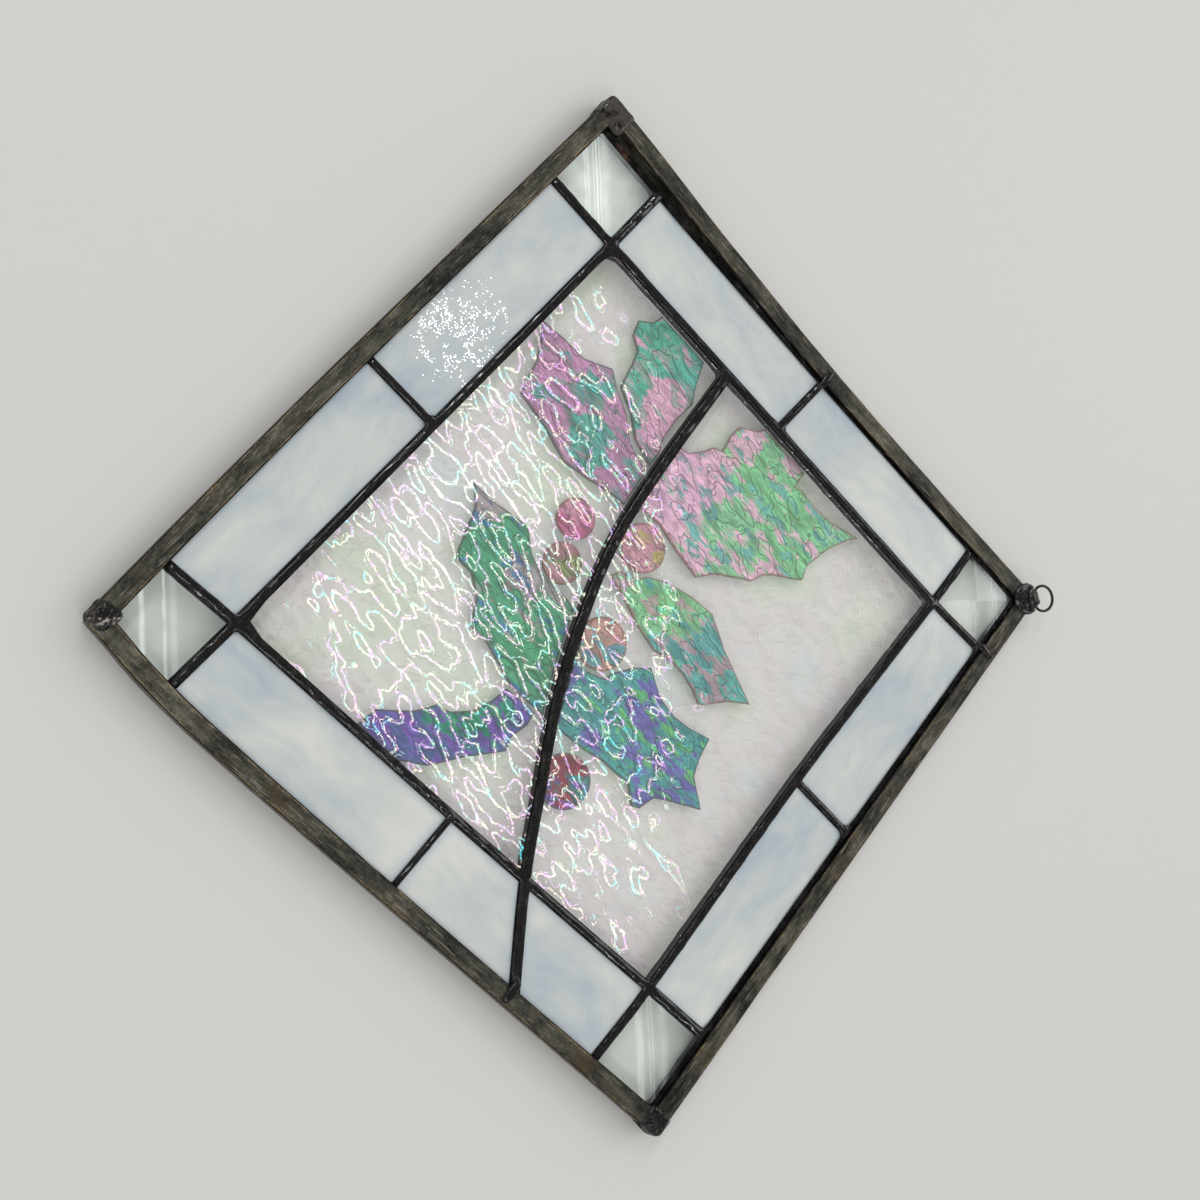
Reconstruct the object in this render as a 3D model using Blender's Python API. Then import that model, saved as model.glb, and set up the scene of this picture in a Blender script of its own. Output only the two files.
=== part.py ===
"""Stained glass suncatcher: a square panel of leaded glass that hangs by a ring on one corner.

The panel is laid out square-on, x to the right and z up, with the ring at its upper right corner, and
the whole of it then hangs from an empty turned by an eighth of a turn, so that the ring comes uppermost.
The front faces -Y. The origin is the place inside the ring where a hook bears. Lengths are in metres.
"""

import math

import bmesh
import bpy
from mathutils import Vector

# Frame
SIDE = 0.2286               # outer side of the square frame, 9 inches
CAME_FACE = 0.0060          # width of the came's face
CAME_WALL = 0.0007          # thickness of the came's metal
JOINT_WEB = 0.0008          # solder standing in each mitre
JOINT_WEB_LENGTH = 0.0017
JOINT_RISE = 0.0009
TOP_JOINT_RADIUS = 0.00565
TOP_JOINT_RISE = 0.0022
# Hanging ring
RING_DIAMETER = 0.0102
RING_WIRE = 0.0012
RING_STANDOFF = 0.00185     # ring's centre beyond the frame's corner, along the diagonal
RING_OPENING = 0.0050       # clear height between the top joint and the inside of the ring
# Glass
GLASS = 0.0030
BEVEL_RISE = 0.0010
LEAF_THICKNESS = 0.0012
# Foil and solder
FOIL = 0.0004
RIM_WIDTH = 0.0024
FOIL_GAP = 0.0011           # between the edges of neighbouring pieces of glass
SEAM_WIDTH = 0.0031
CURVED_SEAM_WIDTH = 0.0038
DIVIDER_WIDTH = 0.0027
THIN_DIVIDER_WIDTH = 0.0021
BEAD_HEIGHT = 0.0010
TACK_WIDTH = 0.0034
TACK_LENGTH = 0.0084
TACK_HEIGHT = 0.0009
CLEARANCE = 0.0003
# Layout
BORDER = 0.0310             # from the frame's outer side to the middle of the seam beside it

QUARTER = math.pi / 4
DIAGONAL = math.sqrt(0.5)
RING_SEGMENTS = 28
WIRE_SEGMENTS = 10
DOME_SEGMENTS = 18
DOME_RINGS = 8
BERRY_SEGMENTS = 32
SEAM_STEPS = 3              # straight stretches between two stations of a seam
MARGIN = 0.004              # by which a cutter runs past what it cuts

FACE_HALF = GLASS / 2 + CLEARANCE                  # inside of the foil on the glass, from the mid-plane
FOIL_HALF = FACE_HALF + FOIL
CAME_HALF = FOIL_HALF + CLEARANCE + CAME_WALL      # the came's outer faces, from the mid-plane
JOINT_BASE = CAME_HALF + CLEARANCE
MITRE_GAP = JOINT_WEB + 2 * CLEARANCE
GLASS_INSET = FOIL + CLEARANCE                     # from the foiled edge to the glass in it
FIELD = SIDE - 2 * BORDER                          # the centre of the panel, between its four seams

# Solder on each corner, as shares of the came's face: its middle across from the corner and up or down from
# it, and its half width and half height
JOINTS = {
    "bottom": (0.62, 0.65, 0.65, 0.65),
    "left": (0.88, 0.63, 0.88, 0.65),
    "right": (0.65, 0.57, 0.77, 0.6),
}
# How far each length of came bows out of the straight, in thousandths of the side, by its share of the side
BOW = {
    "lower_left": ((0, 0), (0.2, 2.6), (0.45, 3.5), (0.7, 1.7), (1, 0)),
    "lower_right": ((0, 0), (0.045, 5.2), (0.09, 11.4), (0.18, 15.7), (0.4, 14), (0.65, 9.2), (0.85, 3.9),
                    (1, 0)),
    "upper_left": ((0, 0), (0.1, -2.2), (0.25, -9.2), (0.5, -14), (0.75, -9.2), (1, 0)),
    "upper_right": ((0, 0), (1, 0)),
}
# How much of the came's face the foiled edge of the glass goes under; it stands clear of it where negative
LAP = {
    "lower_left": ((0, 0.43), (1, 0.43)),
    "lower_right": ((0, 0.43), (1, 0.43)),
    "upper_left": ((0, -0.53), (0.1, -0.45), (0.25, -0.17), (0.5, 0.18), (0.75, 0.25), (1, 0.15)),
    "upper_right": ((0, 0.07), (1, 0.12)),
}
# How far each long seam strays from its place, as cut by hand, in thousandths of the side
DRIFT = {
    "lower_left": ((0, -9.6), (0.135, -5.2), (0.5, 1.3), (0.86, 5.7), (1, 5.7)),
    "lower_right": ((0, -25.4), (0.135, -18.8), (0.5, -10.1), (0.86, 3.1), (1, 7.4)),
    "upper_left": ((0, 21.4), (0.135, 20.1), (0.5, 12.7), (0.86, 6.1), (1, -2.6)),
    "upper_right": ((0, 7.9), (0.135, 3.5), (0.5, 10.1), (0.86, 3.5), (1, 3.5)),
}
# Where the dividers of the borders stand, as shares of the side, at the frame and at the long seam
DIVIDERS = {
    "lower_left": (0.473, 0.473),
    "lower_right": (0.4935, 0.4935),
    "upper_left": (0.502, 0.4955),
    "upper_right": (0.4975, 0.4975),
}
# The curved seam: its foot on the frame as a share of the side, then its run across the field in hundredths
CURVE_FOOT = 0.7034
CURVE_ON_LOWER_SEAM = 67.1
CURVE_POINTS = ((59.3, 11.8), (50.3, 26.8), (43.7, 41.8), (38.9, 56.8), (36.4, 74))
CURVE_ON_UPPER_SEAM = 34.4

# Holly leaves in hundredths of the field; the seams trim those that run up to them
LEFT_LEAVES = (
    ((7.7, 63.7), (6.8, 66.4), (5.6, 70.9), (3.8, 73.9), (1.7, 77), (6.5, 77.7), (11.9, 78), (17.3, 81),
     (20.6, 78.8), (25.1, 76.7), (29.3, 73.3), (33.5, 72.1), (38.9, 71.2), (38.9, 64), (32.3, 63.1),
     (27.2, 61.6), (22.1, 60.6), (15.5, 62.5)),
    ((20.6, 79.8), (19.4, 84.5), (18.4, 87.5), (15.7, 89), (14.6, 92), (17, 94.1), (17.9, 99), (28.7, 99),
     (31.7, 91.7), (33.5, 88.7), (33.1, 83.9), (33.6, 79.1), (35.6, 74.8), (37.1, 72.8), (34.1, 73.3),
     (29.6, 74.5), (25.4, 77.6)),
    ((12.6, 45.1), (17.9, 45.4), (25.2, 46.8), (29.4, 43.5), (32.3, 42.4), (40.1, 42.4), (46.1, 40.6),
     (49.7, 32.2), (52.7, 26.2), (51.5, 23.5), (42.5, 23), (36.7, 24.8), (34, 25.6), (29.4, 25.9),
     (27.1, 30.1), (23.3, 32.8), (19.1, 32.8), (17.6, 37), (15.7, 42)),
    ((25.3, -5), (26.8, 3.4), (29.8, 5.8), (32.1, 7.9), (34.4, 11.4), (37.1, 12.1), (40.2, 15.2),
     (41.5, 18.7), (42.2, 22.3), (49.1, 22.7), (49.6, 20.2), (48.7, 16.3), (49.7, 14), (47.8, 11.8),
     (44.4, 7.9), (41.7, 4.1), (40.2, 2.2), (36.3, -0.1), (34.4, -5)),
)
RIGHT_LEAVES = (
    ((37.7, 65.5), (36.5, 80.6), (39.1, 80.9), (41.3, 83.8), (42.3, 86), (44.1, 86.7), (43.4, 90.5),
     (43.6, 93.2), (47, 95.6), (49.1, 99), (60.2, 99), (60.5, 93.6), (62.6, 94.3), (65.9, 93.9),
     (71.3, 94.4), (75.8, 95.9), (78.3, 96.8), (76.7, 94.7), (74.5, 90), (73.1, 83.9), (74.2, 80.9),
     (71.6, 78.8), (69.3, 77.4), (67.1, 75.3), (65.8, 72.3), (63.5, 70.9), (59, 67.6), (56.5, 64.2),
     (50.3, 65), (44.3, 66.2)),
    ((43.1, 51.7), (44.3, 54.1), (47.3, 54.9), (48.9, 57.1), (52.4, 59.2), (58.5, 61), (63.9, 61.6),
     (70.2, 58.4), (75, 56.7), (81.7, 54.3), (77.6, 51.3), (73.4, 46.5), (70.6, 47.8), (66.7, 48.6),
     (62.3, 48.6), (59.3, 47.6), (52.7, 49), (47.9, 50.6)),
    ((52.7, 23.5), (46.7, 34.9), (51.5, 35.2), (55.3, 36.7), (55.7, 38.5), (58.3, 42.4), (61.1, 44.9),
     (66.3, 42), (70.9, 41.4), (74.7, 42), (79.4, 43.4), (80.3, 39), (81.6, 35.9), (87, 32.1),
     (80.1, 28.6), (77.8, 27.1), (76.8, 23.8), (75.1, 23), (72, 25.6), (65.1, 25.2), (60.5, 24.2)),
)
# Holly berries: middle and radius in hundredths of the field
LEFT_BERRIES = ((34.7, 46.6, 3.96), (31.1, 54.6, 3.96))
RIGHT_BERRIES = ((44.6, 60.4, 4.8), (50.6, 41.2, 5.1), (61.9, 17.5, 5.22))

SIDES = ("lower_right", "upper_right", "upper_left", "lower_left")   # in order round the panel
RISING = ("lower_right", "upper_right")      # the sides that this order follows away from their lower ends
CORNERS = {                                  # the corners at each side's two ends
    "lower_right": ("bottom", "right"),
    "upper_right": ("right", "top"),
    "upper_left": ("left", "top"),
    "lower_left": ("bottom", "left"),
}
SEAM_ENDS = {                                # the sides that a long seam runs between
    "lower_left": ("lower_right", "upper_left"),
    "upper_right": ("lower_right", "upper_left"),
    "lower_right": ("lower_left", "upper_right"),
    "upper_left": ("lower_left", "upper_right"),
}
EDGE_SHARES = (0.06, 0.12, 0.2, 0.3, 0.4, 0.5, 0.62, 0.75, 0.88)
CAME_SHARES = (0.02, 0.045, 0.07, 0.095, 0.125, 0.16, 0.2, 0.27, 0.35, 0.43, 0.52, 0.62, 0.72, 0.82, 0.92)


def through(stations, share):
    """Smooth value at a share, through (share, value) stations."""
    slopes = []
    for i in range(len(stations)):
        before = stations[max(i - 1, 0)]
        after = stations[min(i + 1, len(stations) - 1)]
        slopes.append((after[1] - before[1]) / (after[0] - before[0]))
    share = min(max(share, stations[0][0]), stations[-1][0])
    i = max(k for k in range(len(stations) - 1) if stations[k][0] <= share)
    (s0, v0), (s1, v1) = stations[i], stations[i + 1]
    span = s1 - s0
    t = (share - s0) / span
    return (v0 * (2 * t ** 3 - 3 * t ** 2 + 1) + v1 * (3 * t ** 2 - 2 * t ** 3)
            + slopes[i] * span * (t ** 3 - 2 * t ** 2 + t) + slopes[i + 1] * span * (t ** 3 - t ** 2))


def bow(side, along):
    return through(BOW[side], along / SIDE) * SIDE / 1000


def lip(side, along):
    """Inset of the came's inner lip from the straight outer side."""
    return CAME_FACE - bow(side, along)


def foil_edge(side, along):
    """Inset of the outside of the foil round the glass."""
    return lip(side, along) - through(LAP[side], along / SIDE) * CAME_FACE


def seam_inset(side, along):
    return BORDER + through(DRIFT[side], along / SIDE) * SIDE / 1000


def on_side(side, along, inset):
    """Panel (x, z) of a place along a side, measured from its lower end, and inset from it."""
    return {
        "lower_left": (inset, along),
        "lower_right": (along, inset),
        "upper_left": (along, SIDE - inset),
        "upper_right": (SIDE - inset, along),
    }[side]


def in_field(x_hundredths, z_hundredths):
    return (BORDER + FIELD * x_hundredths / 100, BORDER + FIELD * z_hundredths / 100)


def clear_material(name, colour, roughness, transmission):
    made = bpy.data.materials.new(name)
    made.use_nodes = True
    shader = made.node_tree.nodes["Principled BSDF"]
    shader.inputs["Base Color"].default_value = (*colour, 1)
    shader.inputs["Roughness"].default_value = roughness
    shader.inputs["Transmission Weight"].default_value = transmission
    return made


def metal_material(name, colour, roughness, metallic):
    made = clear_material(name, colour, roughness, 0)
    made.node_tree.nodes["Principled BSDF"].inputs["Metallic"].default_value = metallic
    return made


def came_finish(name):
    return metal_material(name, (0.14, 0.13, 0.11), 0.5, 0.8)


def solder_finish(name):
    return metal_material(name, (0.025, 0.022, 0.022), 0.3, 0.6)


def clear_finish(name):
    return clear_material(name, (0.93, 0.96, 0.94), 0.05, 0.95)


def opal_finish(name):
    return clear_material(name, (0.72, 0.78, 0.82), 0.2, 0.2)


def ripple_finish(name):
    return clear_material(name, (0.9, 0.92, 0.88), 0.08, 0.9)


def leaf_finish(name):
    return clear_material(name, (0.1, 0.42, 0.36), 0.15, 0.5)


def berry_finish(name):
    return clear_material(name, (0.5, 0.14, 0.2), 0.15, 0.5)


def skin(rings, closed=False):
    """Mesh through a row of rings of points, capped at both ends or closed on itself."""
    bm = bmesh.new()
    loops = [[bm.verts.new(p) for p in ring] for ring in rings]
    followers = loops[1:] + loops[:1] if closed else loops[1:]
    for ring, following in zip(loops, followers):
        for i in range(len(ring)):
            j = (i + 1) % len(ring)
            bm.faces.new((ring[i], ring[j], following[j], following[i]))
    if not closed:
        bm.faces.new(loops[0])
        bm.faces.new(loops[-1])
    bmesh.ops.recalc_face_normals(bm, faces=bm.faces)
    return bm


def circle(centre, radius, segments):
    """Outline in (x, z) of a round piece."""
    turns = [2 * math.pi * i / segments for i in range(segments)]
    return [(centre[0] + radius * math.cos(turn), centre[1] + radius * math.sin(turn)) for turn in turns]


def slab(outline, front, back):
    """Mesh of a flat outline in (x, z) between two depths."""
    return skin([[(x, y, z) for x, z in outline] for y in (front, back)])


def place(name, bm, finish=None, smooth=False):
    """Object of the panel from a mesh; without a finish it is a hidden cutter."""
    mesh = bpy.data.meshes.new(name)
    bm.to_mesh(mesh)
    bm.free()
    made = bpy.data.objects.new(name, mesh)
    bpy.context.scene.collection.objects.link(made)
    made.parent = panel
    if finish is None:
        made.hide_render = True
        made.display_type = "WIRE"
    else:
        mesh.materials.append(finish(name))
    if smooth:
        mesh.shade_smooth()
        mesh.set_sharp_from_angle(angle=QUARTER)
    return made


def combine(target, operation, others):
    """Boolean of the target with one hidden object or a list of them."""
    modifier = target.modifiers.new(operation.title(), "BOOLEAN")
    modifier.operation = operation
    modifier.solver = "EXACT"
    if isinstance(others, bpy.types.Object):
        modifier.object = others
        return
    group = bpy.data.collections.new(f"{target.name}_{operation.lower()}")
    bpy.context.scene.collection.children.link(group)
    for other in others:
        group.objects.link(other)
    modifier.operand_type = "COLLECTION"
    modifier.collection = group


def evaluated(made):
    """Mesh of an object with its modifiers, in the panel's own frame."""
    bpy.context.view_layer.update()
    shown = made.evaluated_get(bpy.context.evaluated_depsgraph_get())
    bm = bmesh.new()
    bm.from_mesh(shown.to_mesh())
    shown.to_mesh_clear()
    return bm


def islands(bm):
    """The separate pieces of a mesh, each a mesh of its own, and then the mesh is freed."""
    bmesh.ops.dissolve_limit(bm, angle_limit=0.002, verts=bm.verts, edges=bm.edges)
    left = set(bm.faces)
    pieces = []
    while left:
        found, edge_of_search = set(), [left.pop()]
        while edge_of_search:
            face = edge_of_search.pop()
            found.add(face)
            for edge in face.edges:
                for neighbour in edge.link_faces:
                    if neighbour in left:
                        left.remove(neighbour)
                        edge_of_search.append(neighbour)
        piece = bmesh.new()
        copies = {}
        for face in sorted(found, key=lambda f: f.index):
            for vert in face.verts:
                if vert not in copies:
                    copies[vert] = piece.verts.new(vert.co)
            piece.faces.new([copies[v] for v in face.verts])
        pieces.append(piece)
    bm.free()
    return pieces


def middle(bm):
    """Middle of a mesh's box, as panel (x, z)."""
    xs = [v.co.x for v in bm.verts]
    zs = [v.co.z for v in bm.verts]
    return ((min(xs) + max(xs)) / 2, (min(zs) + max(zs)) / 2)


def nearest(pieces, spot):
    """Takes the piece whose middle is nearest to a spot out of a list."""
    chosen = min(pieces, key=lambda piece: math.dist(middle(piece), spot))
    pieces.remove(chosen)
    return chosen


def edge_loop(extra):
    """Points round the panel, inset by extra from the outside of its foil, each side after its corner."""
    points = []
    for before, side in zip((SIDES[-1], *SIDES), SIDES):
        across = foil_edge(before, SIDE if before in RISING else 0) + extra
        corner = across if side in RISING else SIDE - across
        alongs = [SIDE * share for share in EDGE_SHARES]
        if side not in RISING:
            alongs.reverse()
        for along in (corner, *alongs):
            points.append(on_side(side, along, foil_edge(side, along) + extra))
    return points


def frame_stations(side, along):
    """Insets where a seam starts in the foiled edge, clears the came's lip and reaches its full height."""
    clear = max(lip(side, along), foil_edge(side, along) + FOIL) + CLEARANCE
    return foil_edge(side, along) + FOIL / 2, clear, clear + BEAD_HEIGHT


def long_seam(side):
    """Points and heights of one of the four long seams, from foiled edge to foiled edge."""
    low_side, high_side = SEAM_ENDS[side]

    def spot(along):
        return on_side(side, along, seam_inset(side, along))

    def along_end(end_side, end):
        x, z = spot(end)
        return x if end_side in ("lower_right", "upper_left") else z

    low = frame_stations(low_side, along_end(low_side, 0))
    high = frame_stations(high_side, along_end(high_side, SIDE))
    steps = SEAM_STEPS * (len(DRIFT[side]) - 1)
    first, last = low[2], SIDE - high[2]
    alongs = [low[0], low[1]] + [first + (last - first) * i / steps for i in range(steps + 1)]
    alongs += [SIDE - high[1], SIDE - high[0]]
    return [spot(a) for a in alongs], [FOIL, FOIL] + [BEAD_HEIGHT] * (steps + 1) + [FOIL, FOIL]


def divider_seam(side):
    """Points and heights of the short seam across a border, from the foiled edge to the long seam."""
    at_frame, at_seam = (SIDE * share for share in DIVIDERS[side])
    stations = frame_stations(side, at_frame)
    points = [on_side(side, at_frame, inset) for inset in stations]
    points.append(on_side(side, at_seam, seam_inset(side, at_seam)))
    return points, [FOIL, FOIL, BEAD_HEIGHT, BEAD_HEIGHT]


def curved_seam():
    """Points and heights of the curved seam, from the lower right frame to the upper left long seam."""
    foot = SIDE * CURVE_FOOT
    stations = frame_stations("lower_right", foot)
    crossing_x = in_field(CURVE_ON_LOWER_SEAM, 0)[0]
    crossing = (crossing_x, seam_inset("lower_right", crossing_x))
    end_x = in_field(CURVE_ON_UPPER_SEAM, 0)[0]
    end = (end_x, SIDE - seam_inset("upper_left", end_x))
    knots = [on_side("lower_right", foot, stations[2]), crossing, *(in_field(*p) for p in CURVE_POINTS), end]
    heights_of = [(knot[1], knot) for knot in knots]
    across = tuple((z, knot[0]) for z, knot in heights_of)
    slope = (crossing[0] - foot) / (crossing[1] - stations[2])
    points = [(foot + slope * (z - stations[2]), z) for z in stations[:2]]
    for (low, _), (high, _) in zip(across, across[1:]):
        for i in range(SEAM_STEPS + 1):
            z = low + (high - low) * i / (SEAM_STEPS + 1)
            points.append((through(across, z), z))
    points.append(end)
    return points, [FOIL, FOIL] + [BEAD_HEIGHT] * (len(points) - 2)


def ribbon(points, outline_at):
    """Mesh swept along points in (x, z); outline_at(i) gives its section there as (across, depth)."""
    rings = []
    for i, (x, z) in enumerate(points):
        before, after = points[max(i - 1, 0)], points[min(i + 1, len(points) - 1)]
        run = Vector((after[0] - before[0], after[1] - before[1])).normalized()
        rings.append([(x - run.y * across, y, z + run.x * across) for across, y in outline_at(i)])
    return skin(rings)


def bead_outline(width, height):
    """H-section of a seam: a rounded bead over each face of the glass and a web between the edges."""
    arch = ((1, 0), (0.75, 0.6), (0, 1), (-0.75, 0.6), (-1, 0))
    half, web = width / 2, FOIL_GAP / 2 - CLEARANCE
    front = [(across * half, -FACE_HALF - rise * height) for across, rise in arch]
    back = [(across * half, FACE_HALF + rise * height) for across, rise in reversed(arch)]
    return front + [(-web, -FACE_HALF), (-web, FACE_HALF)] + back + [(web, FACE_HALF), (web, -FACE_HALF)]


def seam(points, heights, width):
    return ribbon(points, lambda i: bead_outline(width, heights[i]))


def kerf(points, width, depth):
    """Cutter as wide as the space that a seam needs."""
    half = width / 2
    outline = ((-half, -depth), (half, -depth), (half, depth), (-half, depth))
    return ribbon(points, lambda i: outline)


def rim():
    """Foil folded round the outer edge of the glass."""
    depths = ((0, -FOIL_HALF), (RIM_WIDTH, -FOIL_HALF), (RIM_WIDTH, -FACE_HALF), (FOIL, -FACE_HALF),
              (FOIL, FACE_HALF), (RIM_WIDTH, FACE_HALF), (RIM_WIDTH, FOIL_HALF), (0, FOIL_HALF))
    outer, inner = edge_loop(0), edge_loop(RIM_WIDTH)
    rings = []
    for (ox, oz), (ix, iz) in zip(outer, inner):
        ring = []
        for inset, y in depths:
            share = inset / RIM_WIDTH
            ring.append((ox + (ix - ox) * share, y, oz + (iz - oz) * share))
        rings.append(ring)
    return skin(rings, closed=True)


def dome(centre, radii, base, turn=0):
    """Flat-bottomed dome that stands forward of a base depth, long along a direction turned in the panel."""
    bm = bmesh.new()
    bmesh.ops.create_uvsphere(bm, u_segments=DOME_SEGMENTS, v_segments=DOME_RINGS, radius=1)
    for vert in bm.verts:
        x, y, z = vert.co
        along, across, rise = x * radii[0], y * radii[1], max(z, 0) * radii[2]
        vert.co = (centre[0] + along * math.cos(turn) - across * math.sin(turn), base - rise,
                   centre[1] + along * math.sin(turn) + across * math.cos(turn))
    bmesh.ops.remove_doubles(bm, verts=bm.verts, dist=0.00001)
    under = {f for f in bm.faces if all(abs(v.co.y - base) < 0.00001 for v in f.verts)}
    flat = [e for e in bm.edges if all(f in under for f in e.link_faces)]
    bmesh.ops.dissolve_edges(bm, edges=flat, use_verts=True)
    bmesh.ops.recalc_face_normals(bm, faces=bm.faces)
    return bm


def mirrored_to_back(bm):
    bmesh.ops.scale(bm, vec=(1, -1, 1), verts=bm.verts)
    bmesh.ops.recalc_face_normals(bm, faces=bm.faces)
    return bm


def post(centre, radius, low, high):
    """Round post through the panel between two depths."""
    return slab(circle(centre, radius, WIRE_SEGMENTS), low, high)


def build_cames():
    profile = ((0, -CAME_HALF), (CAME_FACE, -CAME_HALF), (CAME_FACE, -CAME_HALF + CAME_WALL),
               (CAME_WALL, -CAME_HALF + CAME_WALL), (CAME_WALL, CAME_HALF - CAME_WALL),
               (CAME_FACE, CAME_HALF - CAME_WALL), (CAME_FACE, CAME_HALF), (0, CAME_HALF))
    mitre = MITRE_GAP / 2 / DIAGONAL
    first = CAME_FACE + mitre
    for side in SIDES:
        straight = all(value == 0 for _, value in BOW[side])
        places = [] if straight else [first + (SIDE - 2 * first) * share for share in CAME_SHARES]
        sections = [[(inset + mitre, inset, y) for inset, y in profile]]
        sections += [[(along, inset, y) for inset, y in profile] for along in places]
        sections += [[(SIDE - inset - mitre, inset, y) for inset, y in profile]]
        rings = []
        for section in sections:
            ring = []
            for along, inset, y in section:
                x, z = on_side(side, along, inset - bow(side, along))
                ring.append((x, y, z))
            rings.append(ring)
        place(f"came_{side}", skin(rings), came_finish)


def corner_frame(corner):
    """The corner's panel (x, z), and the steps across and up or down from it into the panel."""
    right, high = corner in ("right", "top"), corner in ("left", "top")
    return Vector((SIDE * right, SIDE * high)), Vector((1 - 2 * right, 1 - 2 * high))


def joint_spot(corner):
    """Middle and radii of the solder on a corner."""
    tip, inward = corner_frame(corner)
    if corner == "top":
        reach = TOP_JOINT_RADIUS - (RING_STANDOFF + RING_DIAMETER / 2 - RING_WIRE - RING_OPENING)
        return tip + inward * DIAGONAL * reach, (TOP_JOINT_RADIUS, TOP_JOINT_RADIUS)
    across, upright, half_width, half_height = (share * CAME_FACE for share in JOINTS[corner])
    return tip + inward * Vector((across, upright)), (half_width, half_height)


def joint_web(corner):
    """Outline of the solder that stands in a mitre, outside the foiled edge of the glass."""
    tip, inward = corner_frame(corner)
    sides = [side for side in SIDES if corner in CORNERS[side]]
    room = min(foil_edge(side, SIDE * CORNERS[side].index(corner)) for side in sides) - 3 * CLEARANCE
    far = room / DIAGONAL
    run = inward * DIAGONAL
    half = Vector((-run.y, run.x)) * JOINT_WEB / 2
    outline = []
    near = far - JOINT_WEB_LENGTH
    for reach, step in ((near, -half), (far, -half), (far, half), (near, half)):
        outline.append(tuple(tip + run * reach + step))
    return outline


def build_joints():
    """Solder at each corner: a dome on either face, joined through the open end of the mitre."""
    for corner in ("bottom", "left", "right", "top"):
        middle_spot, radii = joint_spot(corner)
        rise = TOP_JOINT_RISE if corner == "top" else JOINT_RISE
        joint = place(f"solder_joint_{corner}", dome(middle_spot, (*radii, rise), -JOINT_BASE),
                      solder_finish, smooth=True)
        back_dome = mirrored_to_back(dome(middle_spot, (*radii, JOINT_RISE), -JOINT_BASE))
        back = place(f"joint_back_{corner}", back_dome)
        deep = JOINT_BASE + CLEARANCE
        web = place(f"joint_web_{corner}", slab(joint_web(corner), -deep, deep))
        combine(joint, "UNION", [back, web])
        if corner == "top":
            combine(joint, "DIFFERENCE", place("ring_space", ring_mesh(RING_WIRE / 2 + CLEARANCE)))


def ring_centre():
    tip, inward = corner_frame("top")
    spot = tip - inward * DIAGONAL * RING_STANDOFF
    return Vector((spot.x, -JOINT_BASE - RING_WIRE / 2, spot.y))


def ring_mesh(wire_radius):
    """Wire ring that lies in the panel's plane."""
    centre = ring_centre()
    middle_radius = (RING_DIAMETER - RING_WIRE) / 2
    rings = []
    for i in range(RING_SEGMENTS):
        turn = 2 * math.pi * i / RING_SEGMENTS
        ring = []
        for j in range(WIRE_SEGMENTS):
            round_wire = 2 * math.pi * j / WIRE_SEGMENTS
            out = middle_radius + wire_radius * math.cos(round_wire)
            ring.append((centre.x + out * math.cos(turn), centre.y + wire_radius * math.sin(round_wire),
                         centre.z + out * math.sin(turn)))
        rings.append(ring)
    return skin(rings, closed=True)


def seams():
    """Every seam's points, heights and width."""
    for side in SIDES:
        yield (*long_seam(side), SEAM_WIDTH)
    for side in SIDES:
        yield (*divider_seam(side), THIN_DIVIDER_WIDTH if side == "lower_right" else DIVIDER_WIDTH)
    yield (*curved_seam(), CURVED_SEAM_WIDTH)


def tack(name, side, along, direction):
    """Solder bead that runs from a seam's end over the came's lip on to its face, and its foot inside."""
    foot_radius = TACK_WIDTH / 2 - FOIL
    edge = max(lip(side, along), foil_edge(side, along) + FOIL)
    foot = place(f"{name}_foot", post(on_side(side, along, edge + CLEARANCE + foot_radius), foot_radius,
                                      -JOINT_BASE - TACK_HEIGHT / 2, -FACE_HALF - FOIL / 2))
    bead_middle = edge + CLEARANCE + 2 * foot_radius - TACK_LENGTH / 2
    bead = place(f"{name}_bead", dome(on_side(side, along, bead_middle),
                                      (TACK_LENGTH / 2, TACK_WIDTH / 2, TACK_HEIGHT), -JOINT_BASE, direction))
    return [foot, bead]


def build_seams():
    parts = []
    for number, (points, heights, width) in enumerate(seams()):
        parts.append(place(f"seam_{number}", seam(points, heights, width)))
    parts += tack("curve_tack", "lower_right", SIDE * CURVE_FOOT, 2 * QUARTER)
    parts += tack("divider_tack", "upper_left", SIDE * DIVIDERS["upper_left"][0], 2 * QUARTER)
    upper_end = SIDE - seam_inset("upper_left", SIDE)
    parts += tack("corner_tack", "upper_right", upper_end, 0)
    network = place("solder_seams", rim(), solder_finish)
    combine(network, "UNION", parts)
    return network


def cut_sheet(name, front, back, kerf_width):
    """Islands left of the whole sheet of glass once every seam's space is cut out of it."""
    sheet = place(name, slab(edge_loop(GLASS_INSET), front, back))
    depth = max(abs(front), abs(back)) + MARGIN
    cutters = []
    for number, (points, _, width) in enumerate(seams()):
        cutters.append(place(f"{name}_kerf_{number}", kerf(points, kerf_width(width), depth)))
    combine(sheet, "DIFFERENCE", cutters)
    pieces = islands(evaluated(sheet))
    for done in [sheet, *cutters]:
        bpy.data.objects.remove(done)
    return pieces


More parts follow.
